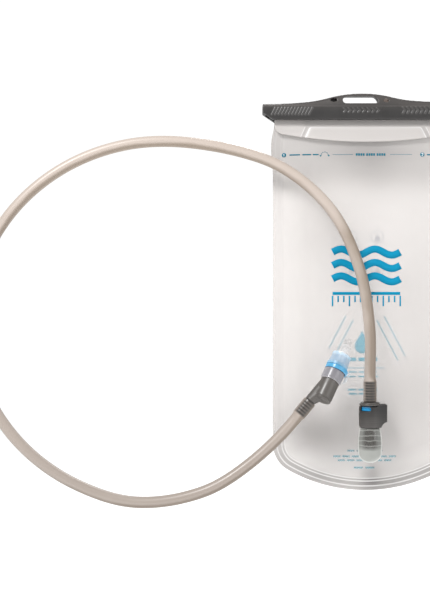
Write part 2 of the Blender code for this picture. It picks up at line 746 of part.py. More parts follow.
def tube_points():
    """Control points of the tube's middle line, from the elbow arm to the bite valve."""
    points = [ARM_END + ARM_AXIS * GAP, ARM_END + ARM_AXIS * TUBE_START] + LOW_KNOTS
    for index in range(LOOP_STEPS + 1):
        share = index / LOOP_STEPS
        angle = math.radians(LOOP_FIRST + (LOOP_LAST - LOOP_FIRST) * share)
        depth = LOOP_LOW_Y + (LOOP_HIGH_Y - LOOP_LOW_Y) * ease(share)
        points.append(LOOP_CENTRE + Vector((LOOP_RADIUS_X * math.cos(angle), depth,
                                            LOOP_RADIUS_Z * math.sin(angle))))
    points += HIGH_KNOTS
    points += [VALVE + Vector((0.0, 0.0, TUBE_END)), VALVE + Vector((0.0, 0.0, GAP))]
    return points


def build_drink_tube():
    points = tube_points()
    curve = bpy.data.curves.new("drink_tube", "CURVE")
    curve.dimensions = "3D"
    curve.bevel_depth = TUBE_R
    curve.bevel_resolution = 4
    curve.resolution_u = 3
    spline = curve.splines.new("BEZIER")
    spline.bezier_points.add(len(points) - 1)
    last = len(points) - 1
    for index, knot in enumerate(spline.bezier_points):
        before = points[max(index - 1, 0)]
        after = points[min(index + 1, last)]
        here = points[index]
        heading = (after - before).normalized()
        if index <= 1:
            heading = ARM_AXIS
        if index >= last - 1:
            heading = Vector((0.0, 0.0, -1.0))
        knot.handle_left_type = "FREE"
        knot.handle_right_type = "FREE"
        knot.co = here
        knot.handle_left = here - heading * (here - before).length / 3
        knot.handle_right = here + heading * (after - here).length / 3
    tube = settle(add_object("drink_tube", curve, PARTS))
    wall = tube.modifiers.new("Wall", "SOLIDIFY")
    wall.thickness = TUBE_WALL
    wall.offset = -1.0
    return finish(tube, make_material("tube_vinyl", (0.60, 0.50, 0.41), 0.3, 0.8))


# ---- bite valve ------------------------------------------------------------------------------

def build_valve_core(axis):
    """Barb, flange and a spindle with a blind bore and one side port."""
    profile = [(0.0, CORE_BORE_FOOT), (BARB_BORE, CORE_BORE_FOOT), (BARB_BORE, CORE_BARB)]
    ridges = [(r, -z) for r, z in barb(0.0, CORE_BARB, CORE_BARB_RIDGES)]
    profile += [(BARB_ROOT_R, CORE_BARB)] + list(reversed(ridges))
    profile += [(FLANGE_TOP_R, 0.0), (FLANGE_TOP_R, FLANGE_STEP), (FLANGE_RIM_R, FLANGE_RIM),
                (FLANGE_RIM_R, FLANGE_FOOT), (CORE_R, FLANGE_FOOT)]
    profile += grooves(CORE_R, CORE_GROOVE_R, CORE_GROOVES, CORE_GROOVE_WIDTH)
    profile += [(CORE_R, CORE_FOOT), (0.0, CORE_FOOT)]
    core = turned("valve_core", profile, PARTS, axis)
    port = block("core_port", (0.0, -CORE_PORT_HALF, CORE_BORE_FOOT),
                 (INDICATOR_R, CORE_PORT_HALF, CORE_PORT_TOP), CUTTERS, axis)
    cut(core, port)
    finish(core, make_material("core_plastic", (0.16, 0.155, 0.15), 0.4))
    for name, start in zip(("core_seal_upper", "core_seal_lower"), CORE_GROOVES):
        seal_ring(name, CORE_SEAL_R, CORE_SEAL_WIRE, start - CORE_GROOVE_WIDTH / 2, axis)


def build_valve_indicator(axis):
    """A blue sector on the spindle, behind the body's window while the valve is open."""
    outer = arc((0.0, 0.0), INDICATOR_R, INDICATOR_START, INDICATOR_END, 8)
    inner = arc((0.0, 0.0), CORE_R + GAP, INDICATOR_END, INDICATOR_START, 8)
    sector = flat_outline("valve_indicator", [outer + inner], INDICATOR_HALF_HEIGHT, PARTS)
    sector.parent = axis
    sector.location = (0.0, 0.0, INDICATOR_Z)
    return finish(settle(sector), make_material("indicator_blue", (0.0, 0.36, 0.85), 0.35))


def build_shutoff_body(axis):
    """Twisting body with a thumb wing, a window and a ribbed mouth stem."""
    floor = BODY_BOTTOM + BODY_FLOOR
    spindle_bore = CORE_R + SPINDLE_PLAY
    profile = [(0.0, floor), (spindle_bore, floor), (spindle_bore, TOP_BORE_FOOT),
               (TOP_BORE_R, TOP_BORE_FOOT), (TOP_BORE_R, BODY_TOP), (VALVE_R - BODY_EDGE, BODY_TOP),
               (VALVE_R, BODY_TOP - BODY_EDGE), (VALVE_R, BODY_BOTTOM + BODY_FOOT_EDGE),
               (VALVE_R - BODY_FOOT_EDGE, BODY_BOTTOM)]
    pitch = (BODY_BOTTOM - STEM_BOTTOM) / STEM_RIBS
    for index in range(STEM_RIBS):
        radius = STEM_R - STEM_TAPER * index
        valley = radius - STEM_RIB_DEPTH
        start = BODY_BOTTOM - index * pitch
        profile += [(valley, start - 0.01 * MM), (radius, start - 0.45 * pitch),
                    (valley, start - 0.9 * pitch)]
    profile += [(STEM_FOOT_R, STEM_BOTTOM), (0.0, STEM_BOTTOM)]
    body = turned("shutoff_body", profile, PARTS, axis)
    wing_top = BODY_TOP - SLIDER_EDGE
    wing_foot = BODY_BOTTOM + 2.0 * BODY_EDGE
    scoop = arc((WING_REACH + MM, wing_foot - 2.0 * MM), WING_SCOOP_R, 100, 170, 5)
    wing_outline = [(WING_ROOT, wing_foot + BODY_EDGE), (WING_ROOT, wing_top),
                    (WING_REACH - WING_CHAMFER, wing_top), (WING_REACH, wing_top - WING_CHAMFER)] + scoop
    wing = flat_outline("thumb_wing", [wing_outline], WING_HALF_DEPTH, CUTTERS)
    wing.parent = axis
    wing.rotation_euler = (math.radians(90.0), 0.0, 0.0)
    window = block("window", WINDOW_LOW, WINDOW_HIGH, CUTTERS, axis)
    channel = rod("flow_channel", CHANNEL_R, floor, CHANNEL_HEAD, axis, FINE_ROUND_STEPS)
    channel.location = (spindle_bore + BODY_EDGE, 0.0, 0.0)
    stem_bore = rod("stem_bore", STEM_BORE_R, STEM_BOTTOM - MM, floor + MM, axis, FINE_ROUND_STEPS)
    fuse(body, settle(wing))
    cut(body, window)
    cut(body, channel)
    cut(body, stem_bore)
    return finish(body, make_material("valve_plastic", (0.10, 0.095, 0.09), 0.45))


def build_bite_sheath(axis):
    """A soft cup over the stem with a rounded, slit tip."""
    top = BODY_BOTTOM - GAP
    dome_z = SHEATH_TIP + SHEATH_DOME_HEIGHT
    shell = [(r * MM, top + z * MM) for r, z in SHEATH_SHELL]
    dome = []
    hollow = []
    for x, z in arc((0.0, 0.0), 1.0, 0, -90, 7):
        dome.append((SHEATH_DOME_R * x, dome_z + SHEATH_DOME_HEIGHT * z))
        hollow.append(((SHEATH_DOME_R - SHEATH_WALL) * x, dome_z + (SHEATH_DOME_HEIGHT - SHEATH_WALL) * z))
    profile = list(reversed(hollow))
    profile += [(r - SHEATH_WALL, z) for r, z in reversed(shell)] + [(SHEATH_TOP_R - SHEATH_WALL, top)]
    profile += [(SHEATH_TOP_R - SHEATH_EDGE, top)] + shell + dome
    sheath = turned("bite_sheath", profile, PARTS, axis)
    slit = block("bite_slit", (-SLIT_HALF.x, -SLIT_HALF.y, SHEATH_TIP - MM),
                 (SLIT_HALF.x, SLIT_HALF.y, SHEATH_TIP + SLIT_HEIGHT), CUTTERS, axis)
    cut(sheath, slit)
    return finish(sheath, make_material("sheath_silicone", (0.86, 0.87, 0.87), 0.25, 0.5))


def build():
    build_front_panel()
    build_film("back_panel", 1, BACK_FOLD)
    build_rail("back_rail", 1)
    build_rail("flap_rail", -1)
    build_flap_stiffener()
    build_slider()
    port_axis = add_axis("port_axis", PORT, -PORT_AXIS, BUTTON_SIDE)
    build_port_body(port_axis)
    build_valve_seat(port_axis)
    build_poppet(port_axis)
    build_poppet_spring(port_axis)
    build_release_button(port_axis)
    build_plug_elbow(port_axis)
    build_drink_tube()
    valve_axis = add_axis("valve_axis", VALVE, Vector((0.0, 0.0, 1.0)), Vector((1.0, 0.0, 0.0)))
    build_valve_core(valve_axis)
    build_valve_indicator(valve_axis)
    build_shutoff_body(valve_axis)
    build_bite_sheath(valve_axis)


clear_scene()
PARTS = make_collection("hydration_bladder")
CUTTERS = make_collection("cutters")
build()
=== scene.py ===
"""Looks of the hydration bladder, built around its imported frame. Millimetres, +Z up, front towards -Y."""

import itertools
import json
import math

import bmesh
import bpy
from mathutils import Matrix, Vector, noise
from mathutils.bvhtree import BVHTree


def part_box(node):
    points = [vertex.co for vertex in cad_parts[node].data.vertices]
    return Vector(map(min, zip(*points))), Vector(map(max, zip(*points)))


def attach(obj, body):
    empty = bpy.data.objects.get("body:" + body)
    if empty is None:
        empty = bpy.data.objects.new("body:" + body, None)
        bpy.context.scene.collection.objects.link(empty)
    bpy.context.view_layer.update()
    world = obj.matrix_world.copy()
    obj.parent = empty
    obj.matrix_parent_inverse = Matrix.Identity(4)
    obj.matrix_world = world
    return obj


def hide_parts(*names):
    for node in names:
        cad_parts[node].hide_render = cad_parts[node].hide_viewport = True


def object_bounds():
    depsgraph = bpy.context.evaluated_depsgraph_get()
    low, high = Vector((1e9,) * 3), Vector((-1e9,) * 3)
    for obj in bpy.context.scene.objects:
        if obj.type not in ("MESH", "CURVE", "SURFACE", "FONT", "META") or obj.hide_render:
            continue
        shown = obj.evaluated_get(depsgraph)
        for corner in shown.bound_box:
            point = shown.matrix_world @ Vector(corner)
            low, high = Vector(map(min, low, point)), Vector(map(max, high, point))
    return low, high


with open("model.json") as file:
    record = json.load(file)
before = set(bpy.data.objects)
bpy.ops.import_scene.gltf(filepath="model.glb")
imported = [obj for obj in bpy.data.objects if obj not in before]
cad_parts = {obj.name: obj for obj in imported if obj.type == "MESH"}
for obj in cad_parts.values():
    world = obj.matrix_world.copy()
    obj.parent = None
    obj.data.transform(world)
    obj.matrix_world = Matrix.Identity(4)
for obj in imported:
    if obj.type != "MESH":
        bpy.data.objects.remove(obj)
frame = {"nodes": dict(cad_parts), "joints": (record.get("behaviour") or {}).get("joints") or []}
CAD_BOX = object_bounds()
# One millimetre in metres, which are the units of the frame and of Blender.
MM = 0.001
ROUND = 72


def joint(name):
    return next(one for one in frame["joints"] if one["name"] == name)


def box(node):
    """A node's lowest and highest corner, in millimetres."""
    low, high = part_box(node)
    return low / MM, high / MM


def middle(node):
    low, high = box(node)
    return (low + high) / 2


# Places, read from the frame.
PORT_AXIS = Vector(joint("plug_release")["axis"]).normalized()
BUTTON_SIDE = -Vector(joint("button_press")["axis"]).normalized()
SEAT_MIDDLE = 9.95
PORT = middle("valve_seat") - PORT_AXIS * SEAT_MIDDLE
VALVE = Vector(joint("valve_twist")["pos_m"]) / MM
BAG_LOW, BAG_HIGH = box("front_panel")
BAG_X = (BAG_LOW.x + BAG_HIGH.x) / 2
BAG_HALF = (BAG_HIGH.x - BAG_LOW.x) / 2
BAG_BOTTOM = BAG_LOW.z

# Bag.
FILM = 0.4
MOST_RIPPLE = 0.45
NECK_HALF = 78.5
BOTTOM_RADIUS = 136.0
CORNER_RADIUS = 26.0
WELD_WIDTH = 8.0
FRONT_BULGE = 9.0
BACK_BULGE = 6.0
NECK_Z = -24.0
FOLD_Z = -12.5
FRONT_FOLD = 1.0
BACK_FOLD = 1.7
FLAP_BOTTOM = -39.7
FLAP_RADIUS = 364.0
FLAP_CORNER = 8.0
FIELD_HALF = 47.0
FIELD_SLANT = 0.45
FIELD_DROP = 2.3

SHOULDER_STEPS = 90

# Port, socket and plug, as distances along the port axis.
BARREL_R = 8.0
BARREL_FOOT = 21.0
NECK_R = 7.7
FLANGE_R = 16.0
INLET_R = 4.2
SOCKET_BORE = 5.2
SLEEVE_R = 8.8
GROOVE_R = 7.4
GROOVE_START = 24.0
GROOVE_END = 28.0
RIM = 37.4
PLUG_TIP = 19.0
PLUG_R = 7.8
PLUG_END = 55.9
ARM_END = Vector((-46.6, -35.5, -260.3))
ARM_AXIS = Vector((-0.64, -0.05, -0.77)).normalized()
ARM_R = 4.6
ARM_LENGTH = 18.0
BARB_LENGTH = 15.0

# Drink tube.
TUBE_R = 4.75
BORE_R = 3.2
BARB_R = 4.0
BARB_ROOT = 3.0
HOSE_BORE = 2.6
GRIP = 1.0
LOOP_CENTRE = Vector((-168.5, 0.0, -192.5))
LOOP_RADIUS_X = 161.0
LOOP_RADIUS_Z = 151.5
LOOP_ANGLES = (-98.0, -278.0)
LOOP_KNOTS = 10
LOOP_LOW_Y = -47.0
LOOP_HIGH_Y = -17.5

# Bite valve, as heights under the valve's flange top.
VALVE_R = 9.3
BODY_TOP = -3.2
BODY_BOTTOM = -21.4
STEM_BOTTOM = -38.4
SHEATH_R = 10.2
CORE_BARB = 18.0
SHEATH_TIP = -51.5
WING_REACH = 14.0

STEM_PITCH = 4.1

# Light, and the middle and height of the view.
LIT_STRENGTH = 0.52
SEEN_STRENGTH = 1.05
LIGHT_TARGET = Vector((-100.0, 0.0, -180.0))
CAMERA_DISTANCE = 900.0
SEEN_HEIGHT = 522.5
VIEW_X, VIEW_Z = -126.0, -177.0

UP = Vector((0.0, 0.0, 1.0))
RIGHT = Vector((1.0, 0.0, 0.0))
FRONT = Vector((0.0, -1.0, 0.0))


# ---- Helpers ----

def ease(share):
    share = min(max(share, 0.0), 1.0)
    return share * share * (3.0 - 2.0 * share)


def bump(distance, width):
    """A smooth ridge of height 1 that is 0 beyond its width."""
    share = min(abs(distance) / width, 1.0)
    return (1.0 - share * share) ** 2


def swell(distance, reach):
    share = min(max(distance / reach, 0.0), 1.0)
    return 1.0 - (1.0 - share) ** 2


def arc(centre, radius, start, end, count):
    """Points round a centre, from one angle to another."""
    angles = [math.radians(start + (end - start) * k / count) for k in range(count + 1)]
    return [(centre[0] + radius * math.cos(a), centre[1] + radius * math.sin(a)) for a in angles]


def axes_matrix(place, up, side):
    turn = Matrix((side, up.cross(side).normalized(), up)).transposed()
    return Matrix.Translation(place) @ turn.to_4x4()


FLAT = Matrix.Identity(4)
PORT_SPACE = axes_matrix(PORT, -PORT_AXIS, BUTTON_SIDE)
ARM_SPACE = axes_matrix(ARM_END, -ARM_AXIS, FRONT.cross(ARM_AXIS).normalized())
VALVE_SPACE = Matrix.Translation(VALVE)
NECK_SPACE = Matrix.Translation(PORT) @ Matrix.Rotation(math.radians(-90.0), 4, "X")


def new_piece(name, verts, faces):
    """An object from millimetre points."""
    mesh = bpy.data.meshes.new(name)
    mesh.from_pydata([Vector(v) * MM for v in verts], [], faces)
    mesh.update()
    piece = bpy.data.objects.new(name, mesh)
    bpy.context.scene.collection.objects.link(piece)
    return piece


def edit(piece, change):
    """Open a piece's mesh, change it and put it back."""
    shape = bmesh.new()
    shape.from_mesh(piece.data)
    change(shape)
    shape.to_mesh(piece.data)
    shape.free()
    return piece


def tidy_mesh(piece):
    """Weld doubles and point all faces outwards."""
    def change(shape):
        bmesh.ops.remove_doubles(shape, verts=shape.verts, dist=0.002 * MM)
        bmesh.ops.recalc_face_normals(shape, faces=shape.faces)
    return edit(piece, change)


def join(piece, others):
    """Add other meshes to a piece; voxel remeshing fuses them."""
    def change(shape):
        for other in others:
            shape.from_mesh(other.data)
            bpy.data.objects.remove(other)
    return edit(piece, change)


def apply_all(piece):
    """Bake a piece's modifiers into its mesh."""
    bpy.context.view_layer.update()
    graph = bpy.context.evaluated_depsgraph_get()
    mesh = bpy.data.meshes.new_from_object(piece.evaluated_get(graph))
    piece.modifiers.clear()
    piece.data = mesh
    return piece


def boolean(piece, other, operation="DIFFERENCE"):
    modifier = piece.modifiers.new("cut", "BOOLEAN")
    modifier.operation = operation
    modifier.solver = "EXACT"
    modifier.object = other
    apply_all(piece)
    bpy.data.objects.remove(other)
    return piece


def mould(piece, voxel, rounds):
    """Give a hard-edged solid the soft fillets of a moulding."""
    remesh = piece.modifiers.new("voxels", "REMESH")
    remesh.mode = "VOXEL"
    remesh.voxel_size = voxel * MM
    smooth = piece.modifiers.new("soften", "SMOOTH")
    smooth.factor = 0.5
    smooth.iterations = rounds
    return apply_all(piece)


def dress(piece, body, material, nodes=(), crease=None):
    """Material, shading, body and the CAD nodes a piece stands for."""
    piece.data.materials.clear()
    piece.data.materials.append(material)
    piece.data.shade_smooth()
    if crease:
        piece.data.set_sharp_from_angle(angle=math.radians(crease))
    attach(piece, body)
    if nodes:
        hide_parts(*nodes)
    return piece


def loft(name, rings, closed=False):
    """A surface through rings of points; a ring of one point is a pole."""
    verts, numbers, faces = [], [], []
    for ring in rings:
        numbers.append(range(len(verts), len(verts) + len(ring)))
        verts += ring
    sides = max(len(ring) for ring in rings)
    for upper, lower in zip(numbers, numbers[1:] + numbers[:1] if closed else numbers[1:]):
        for k in range(sides):
            n = (k + 1) % sides
            face = dict.fromkeys((upper[k % len(upper)], lower[k % len(lower)],
                                  lower[n % len(lower)], upper[n % len(upper)]))
            if len(face) > 2:
                faces.append(tuple(face))
    return tidy_mesh(new_piece(name, verts, faces))


def ring_points(space, radius, height, count=40):
    angles = [2.0 * math.pi * k / count for k in range(count)]
    return [space @ Vector((radius * math.cos(a), radius * math.sin(a), height)) for a in angles]


def lathe(name, profile, space, closed=False, sides=ROUND):
    """Turn (radius, height) points about the space's Z into a solid."""
    rings = [ring_points(space, radius, height, sides if radius > 0.001 else 1) for radius, height in profile]
    return loft(name, rings, closed)


def soft_profile(profile, radius, steps=3):
    """Round the corners of an open profile, keeping its two ends."""
    points = [Vector(p) for p in profile]
    result = [points[0]]
    for before, here, after in zip(points, points[1:], points[2:]):
        reach = min(radius, (before - here).length * 0.45, (after - here).length * 0.45)
        start = here + (before - here).normalized() * reach
        end = here + (after - here).normalized() * reach
        for t in [k / steps for k in range(steps + 1)]:
            result.append(start * (1 - t) ** 2 + here * 2 * t * (1 - t) + end * t * t)
    return result + [points[-1]]


def prism(name, outline, low, high, space):
    """An outline in local X and Z, carried from low to high along local Y."""
    count = len(outline)
    verts = [space @ Vector((x, y, z)) for y in (low, high) for x, z in outline]
    faces = [tuple(range(count)), tuple(range(2 * count - 1, count - 1, -1))]
    for k in range(count):
        n = (k + 1) % count
        faces.append((k, n, n + count, k + count))
    return tidy_mesh(new_piece(name, verts, faces))


def hull(name, points):
    """The solid stretched around some points."""
    def change(shape):
        result = bmesh.ops.convex_hull(shape, input=shape.verts)
        spare = [item for item in result["geom_interior"] if isinstance(item, bmesh.types.BMVert)]
        bmesh.ops.delete(shape, geom=spare, context="VERTS")
    return tidy_mesh(edit(new_piece(name, points, []), change))


def block(name, low, high, space):
    return hull(name, [space @ Vector(corner) for corner in itertools.product(*zip(low, high))])


# ---- Materials ----

def scaled(colour, factor, lift=0.0):
    return tuple(min(c * factor + lift, 1.0) for c in colour)


class Look:
    """A Principled material with short ways to add the nodes it needs."""

    def __init__(self, name, colour, roughness):
        self.material = bpy.data.materials.new(name)
        self.material.use_nodes = True
        self.tree = self.material.node_tree
        self.shader = self.tree.nodes["Principled BSDF"]
        self.colour = colour
        self.set("Base Color", colour)
        self.set("Roughness", roughness)
        self.coords = self.add("TexCoord").outputs["Object"]

    def feed(self, value, into):
        """Link an input to a socket, or give it a number, a colour or a vector."""
        if isinstance(value, bpy.types.NodeSocket):
            self.tree.links.new(value, into)
        elif isinstance(value, float):
            into.default_value = value
        else:
            into.default_value = (*value, 1.0)[:len(into.default_value)]

    def set(self, key, value):
        """Feed one of the shader's own inputs."""
        self.feed(value, self.shader.inputs[key])

    def add(self, kind, *values, operation=None, **named):
        """A node with its inputs fed, in order or by name."""
        node = self.tree.nodes.new("ShaderNode" + kind)
        if operation:
            node.operation = operation
        for into, value in zip(node.inputs, values):
            self.feed(value, into)
        for key, value in named.items():
            self.feed(value, node.inputs[key])
        return node

    def maths(self, operation, *values):
        return self.add("Math", *values, operation=operation).outputs[0]

    def times(self, first, second):
        return self.maths("MULTIPLY", first, second)

    def vector(self, operation, first, second, out="Vector"):
        return self.add("VectorMath", first, second, operation=operation).outputs[out]

    def noise(self, scale, detail=3.0):
        return self.add("TexNoise", Vector=self.coords, Scale=scale, Detail=detail).outputs["Fac"]

    def remap(self, value, low, high, to_low, to_high):
        return self.add("MapRange", value, low, high, to_low, to_high).outputs["Result"]

    def mix(self, share, first, second):
        """Mix two colours; each may be a colour or a socket."""
        node = self.add("Mix")
        node.data_type = "RGBA"
        for index, value in ((0, share), (6, first), (7, second)):
            self.feed(value, node.inputs[index])
        return node.outputs[2]

    def ramp(self, value, stops):
        """Colours or grey values at positions from 0 to 1."""
        node = self.add("ValToRGB", value)
        line = node.color_ramp
        while len(line.elements) < len(stops):
            line.elements.new(0.5)
        for element, (place, tone) in zip(line.elements, stops):
            element.position = place
            element.color = (*tone, 1.0) if isinstance(tone, tuple) else (tone, tone, tone, 1.0)
        return node.outputs["Color"]

    def attribute(self, name):
        node = self.add("Attribute")
        node.attribute_name = name
        return node.outputs["Fac"]

    def facing(self, power=0.5):
        """0 where the surface faces the viewer, 1 at its outline."""
        return self.add("LayerWeight", Blend=power).outputs["Facing"]

    def slope(self, towards):
        """1 where the surface faces a direction, -1 where it faces away."""
        normal = self.add("NewGeometry").outputs["Normal"]
        return self.vector("DOT_PRODUCT", normal, Vector(towards).normalized(), "Value")

    def along(self, place, axis):
        """Millimetres along an axis from a place."""
        offset = self.vector("SUBTRACT", self.coords, place * MM)
        return self.maths("DIVIDE", self.vector("DOT_PRODUCT", offset, axis, "Value"), MM)

    def near(self, place, reach, fade):
        """1 within reach of a place, falling to 0 over fade."""
        distance = self.vector("DISTANCE", self.coords, place * MM, "Value")
        return self.remap(distance, reach * MM, (reach + fade) * MM, 1.0, 0.0)

    def mottle(self, scale, spread):
        """Let the colour drift a little around its mean."""
        tone = self.mix(self.noise(scale), scaled(self.colour, 1 - spread), scaled(self.colour, 1 + spread))
        self.set("Base Color", tone)
        return tone

    def pale_edges_and_painted_shade(self, tone, wear_and_highlight):
        """Paler raised edges, partly rubbed pale and partly painted highlight, and painted shade darkening
        the hollows.
        """
        shape = self.add("NewGeometry").outputs["Pointiness"]
        hollow = self.mix(self.remap(shape, 0.42, 0.49, 0.7, 0.0), tone, scaled(self.colour, 0.35))
        return self.mix(self.remap(shape, 0.515, 0.60, 0.0, wear_and_highlight), hollow, scaled(self.colour, 1.9, 0.03))

    def see_through(self, centre, edge):
        self.set("Alpha", self.remap(self.facing(), 0.0, 1.0, centre, edge))

    def relief(self, height, depth, strength):
        bumped = self.add("Bump", Strength=strength, Distance=depth * MM, Height=height)
        self.set("Normal", bumped.outputs["Normal"])

    def finish(self, gloss=None, grain=None):
        """Uneven gloss (noise scale, least and most roughness), then grain (noise scale, depth, strength)."""
        if gloss:
            self.set("Roughness", self.remap(self.noise(gloss[0]), 0.3, 0.7, gloss[1], gloss[2]))
        if grain:
            self.relief(self.noise(grain[0], 2.0), grain[1], grain[2])
        return self.material


def moulded_plastic(name, colour, roughness, wear_and_highlight):
    look = Look(name, colour, roughness)
    look.set("Base Color", look.pale_edges_and_painted_shade(look.mottle(35.0, 0.10), wear_and_highlight))
    return look.finish((90.0, roughness - 0.06, roughness + 0.08), (2600.0, 0.05, 0.35))


def valve_material():
    """Plastic with the fine level lines of a tooled surface, with painted light paler low down and painted
    shade darker on its wing.
    """
    look = Look("valve_plastic", (0.034, 0.031, 0.029), 0.42)
    stretched = look.add("Mapping", Vector=look.coords, Scale=(60.0, 60.0, 1800.0)).outputs["Vector"]
    lines = look.add("TexNoise", Vector=stretched, Scale=1.0, Detail=2.0).outputs["Fac"]
    tone = look.mix(lines, scaled(look.colour, 0.7), scaled(look.colour, 1.5))
    # Painted light and shade: paler low on the body and darker towards its top, and painted shade darker on
    # the wing.
    height = look.remap(look.along(VALVE, UP), -20.0, -6.0, 1.75, 0.45)
    beside = look.remap(look.along(VALVE, RIGHT), 4.0, 9.5, 0.95, 0.50)
    shaded = look.vector("MULTIPLY", tone, look.times(height, beside))
    look.set("Base Color", look.pale_edges_and_painted_shade(shaded, 1.0))
    look.relief(lines, 0.06, 0.5)
    return look.finish(gloss=(90.0, 0.37, 0.50))


def sheath_material():
    """Clear soft silicone: grey-green body, the ribbed stem showing inside it with painted highlights on its
    ribs, and a bright outline that is a painted highlight.
    """
    look = Look("silicone", (0.62, 0.64, 0.60), 0.12)
    height = look.along(VALVE, UP)
    upper = look.remap(height, STEM_BOTTOM - 2.0, STEM_BOTTOM + 1.5, 0.0, 1.0)
    body = look.mix(upper, (0.38, 0.39, 0.367), (0.222, 0.227, 0.213))
    core = look.times(look.remap(look.facing(), 0.06, 0.30, 0.85, 0.0), upper)
    body = look.mix(core, body, (0.075, 0.07, 0.064))
    # Pale lines at the stem's rib pitch are painted highlights on its ribs.
    wander = look.remap(look.noise(110.0), 0.3, 0.7, -0.8, 0.8)
    turn = look.times(look.maths("ADD", height, wander), 2.0 * math.pi / STEM_PITCH)
    painted_rib_highlight = look.times(look.remap(look.maths("SINE", turn), 0.6, 1.0, 0.0, 0.38), upper)
    body = look.mix(painted_rib_highlight, body, (0.55, 0.56, 0.53))
    # The bright outline round the edges is a painted highlight.
    rim = look.ramp(look.facing(), [(0.0, 0.0), (0.50, 0.0), (0.64, 0.35), (0.76, 1.0), (0.88, 0.7),
                                    (1.0, 0.2)])
    look.set("Base Color", look.mix(rim, body, (0.76, 0.77, 0.74)))
    look.see_through(0.74, 1.0)
    return look.finish((150.0, 0.10, 0.16), (700.0, 0.03, 0.5))


def pressed_field(look, tone):
    """Painted shade in the groove and painted highlights along the edges round the flap's pressed trapezoid.
    """
    across = look.maths("ABSOLUTE", look.along(Vector((BAG_X, 0.0, 0.0)), RIGHT))
    under = look.along(Vector((0.0, 0.0, NECK_Z)), -UP)
    beside = look.maths("SUBTRACT", look.maths("MULTIPLY_ADD", under, FIELD_SLANT, FIELD_HALF), across)
    below = look.maths("SUBTRACT", under, FIELD_DROP)
    place = look.remap(look.maths("SMOOTH_MIN", beside, below, 3.0), -5.0, 3.0, 0.0, 1.0)
    on_flap = look.remap(look.attribute("flap"), 0.6, 0.9, 0.0, 1.0)
    # The groove's darkening is painted shade; the bright lines are painted highlights.
    groove = look.ramp(place, [(0.0, 0.0), (0.12, 0.0), (0.26, 0.36), (0.52, 0.36), (0.60, 0.0), (1.0, 0.0)])
    painted_glint = look.ramp(place, [(0.0, 0.0), (0.03, 0.0), (0.10, 0.7), (0.18, 0.0), (0.57, 0.0), (0.66, 0.9),
                              (0.78, 0.15), (1.0, 0.0)])
    tone = look.mix(look.times(groove, on_flap), tone, (0.38, 0.36, 0.355))
    return look.mix(look.times(painted_glint, on_flap), tone, (0.93, 0.92, 0.92))


def film_cover(look, weld):
    """How much of the film is milky: least where it is lit and flat, most at the weld and the flap."""
    cover = look.maths("MULTIPLY_ADD", look.attribute("tone"), -0.40, 0.73)
    for share, weight in ((weld, 0.24), (look.attribute("flap"), 0.28), (look.facing(0.35), 0.45)):
        cover = look.maths("MULTIPLY_ADD", share, weight, cover)
    cloudy = look.remap(look.noise(9.0), 0.3, 0.7, -0.03, 0.03)
    thin = look.maths("SUBTRACT", 1.0, look.maths("ADD", cover, cloudy))
    cover = look.maths("SUBTRACT", 1.0, look.times(thin, thin))
    cover = look.maths("MINIMUM", look.maths("SUBTRACT", cover, look.attribute("clear")), 0.97)
    # A film's two walls lie together, so only the one that faces the viewer is drawn.
    behind = look.add("NewGeometry").outputs["Backfacing"]
    return look.times(cover, look.maths("SUBTRACT", 1.0, behind))


def film_material():
    """Milky film: dark ridged weld round the bottom with painted highlights on its ridges, painted shade
    carried by the tone attribute, whiter flap, clearer seen straight on.
    """
    look = Look("film", (0.757, 0.724, 0.704), 0.36)
    inset = look.maths("DIVIDE", look.attribute("inset"), 14.0)
    ridge = look.attribute("ridge")
    # Pale lines on the weld's ridges are painted highlights.
    lines = look.ramp(inset, [(0.0, 0.0), (0.20, 0.0), (0.255, 1.0), (0.31, 0.0), (0.50, 0.0),
                              (0.56, 1.0), (0.615, 0.0), (0.68, 0.0), (0.735, 0.8), (0.80, 0.0)])
    weld = look.times(look.remap(inset, 0.66, 0.80, 1.0, 0.0), ridge)
    # The tone attribute carries painted shade: under the flap, below the slider and soft shadows on the bag.
    light = look.maths("MULTIPLY_ADD", weld, -0.27, look.attribute("tone"))
    shade = look.vector("MULTIPLY", look.mottle(14.0, 0.02), light)
    tone = pressed_field(look, look.mix(look.times(lines, ridge), shade, (0.95, 0.94, 0.93)))
    look.set("Base Color", tone)
    look.finish((22.0, 0.28, 0.42), (900.0, 0.03, 0.25))
    glow = look.add("BsdfTranslucent", Color=tone).outputs["BSDF"]
    body = look.add("MixShader", 0.3, look.shader.outputs["BSDF"], glow).outputs["Shader"]
    clear = look.add("BsdfTransparent").outputs["BSDF"]
    film = look.add("MixShader", film_cover(look, weld), clear, body).outputs["Shader"]
    look.feed(film, look.tree.nodes["Material Output"].inputs["Surface"])
    return look.material


def ink(name, colour, alpha, glow=0.0):
    look = Look(name, colour, 0.6)
    look.mottle(500.0, 0.06)
    # The glow is emission: painted light that keeps a print bright where it sits behind the front film.
    for key, value in (("Specular IOR Level", 0.15), ("Alpha", alpha), ("Emission Color", colour),
                       ("Emission Strength", glow)):
        look.set(key, value)
    return look.finish(grain=(3000.0, 0.02, 0.3))


def barb_bands(look, place, axis, reach, pitch):
    """Dark bands where a barb's rings press against the tube."""
    turn = look.times(look.along(place, axis), 2.0 * math.pi / pitch)
    bands = look.remap(look.maths("SINE", turn), -0.5, 0.4, 0.78, 1.0)
    return look.times(look.near(place, reach, 1.0), bands)


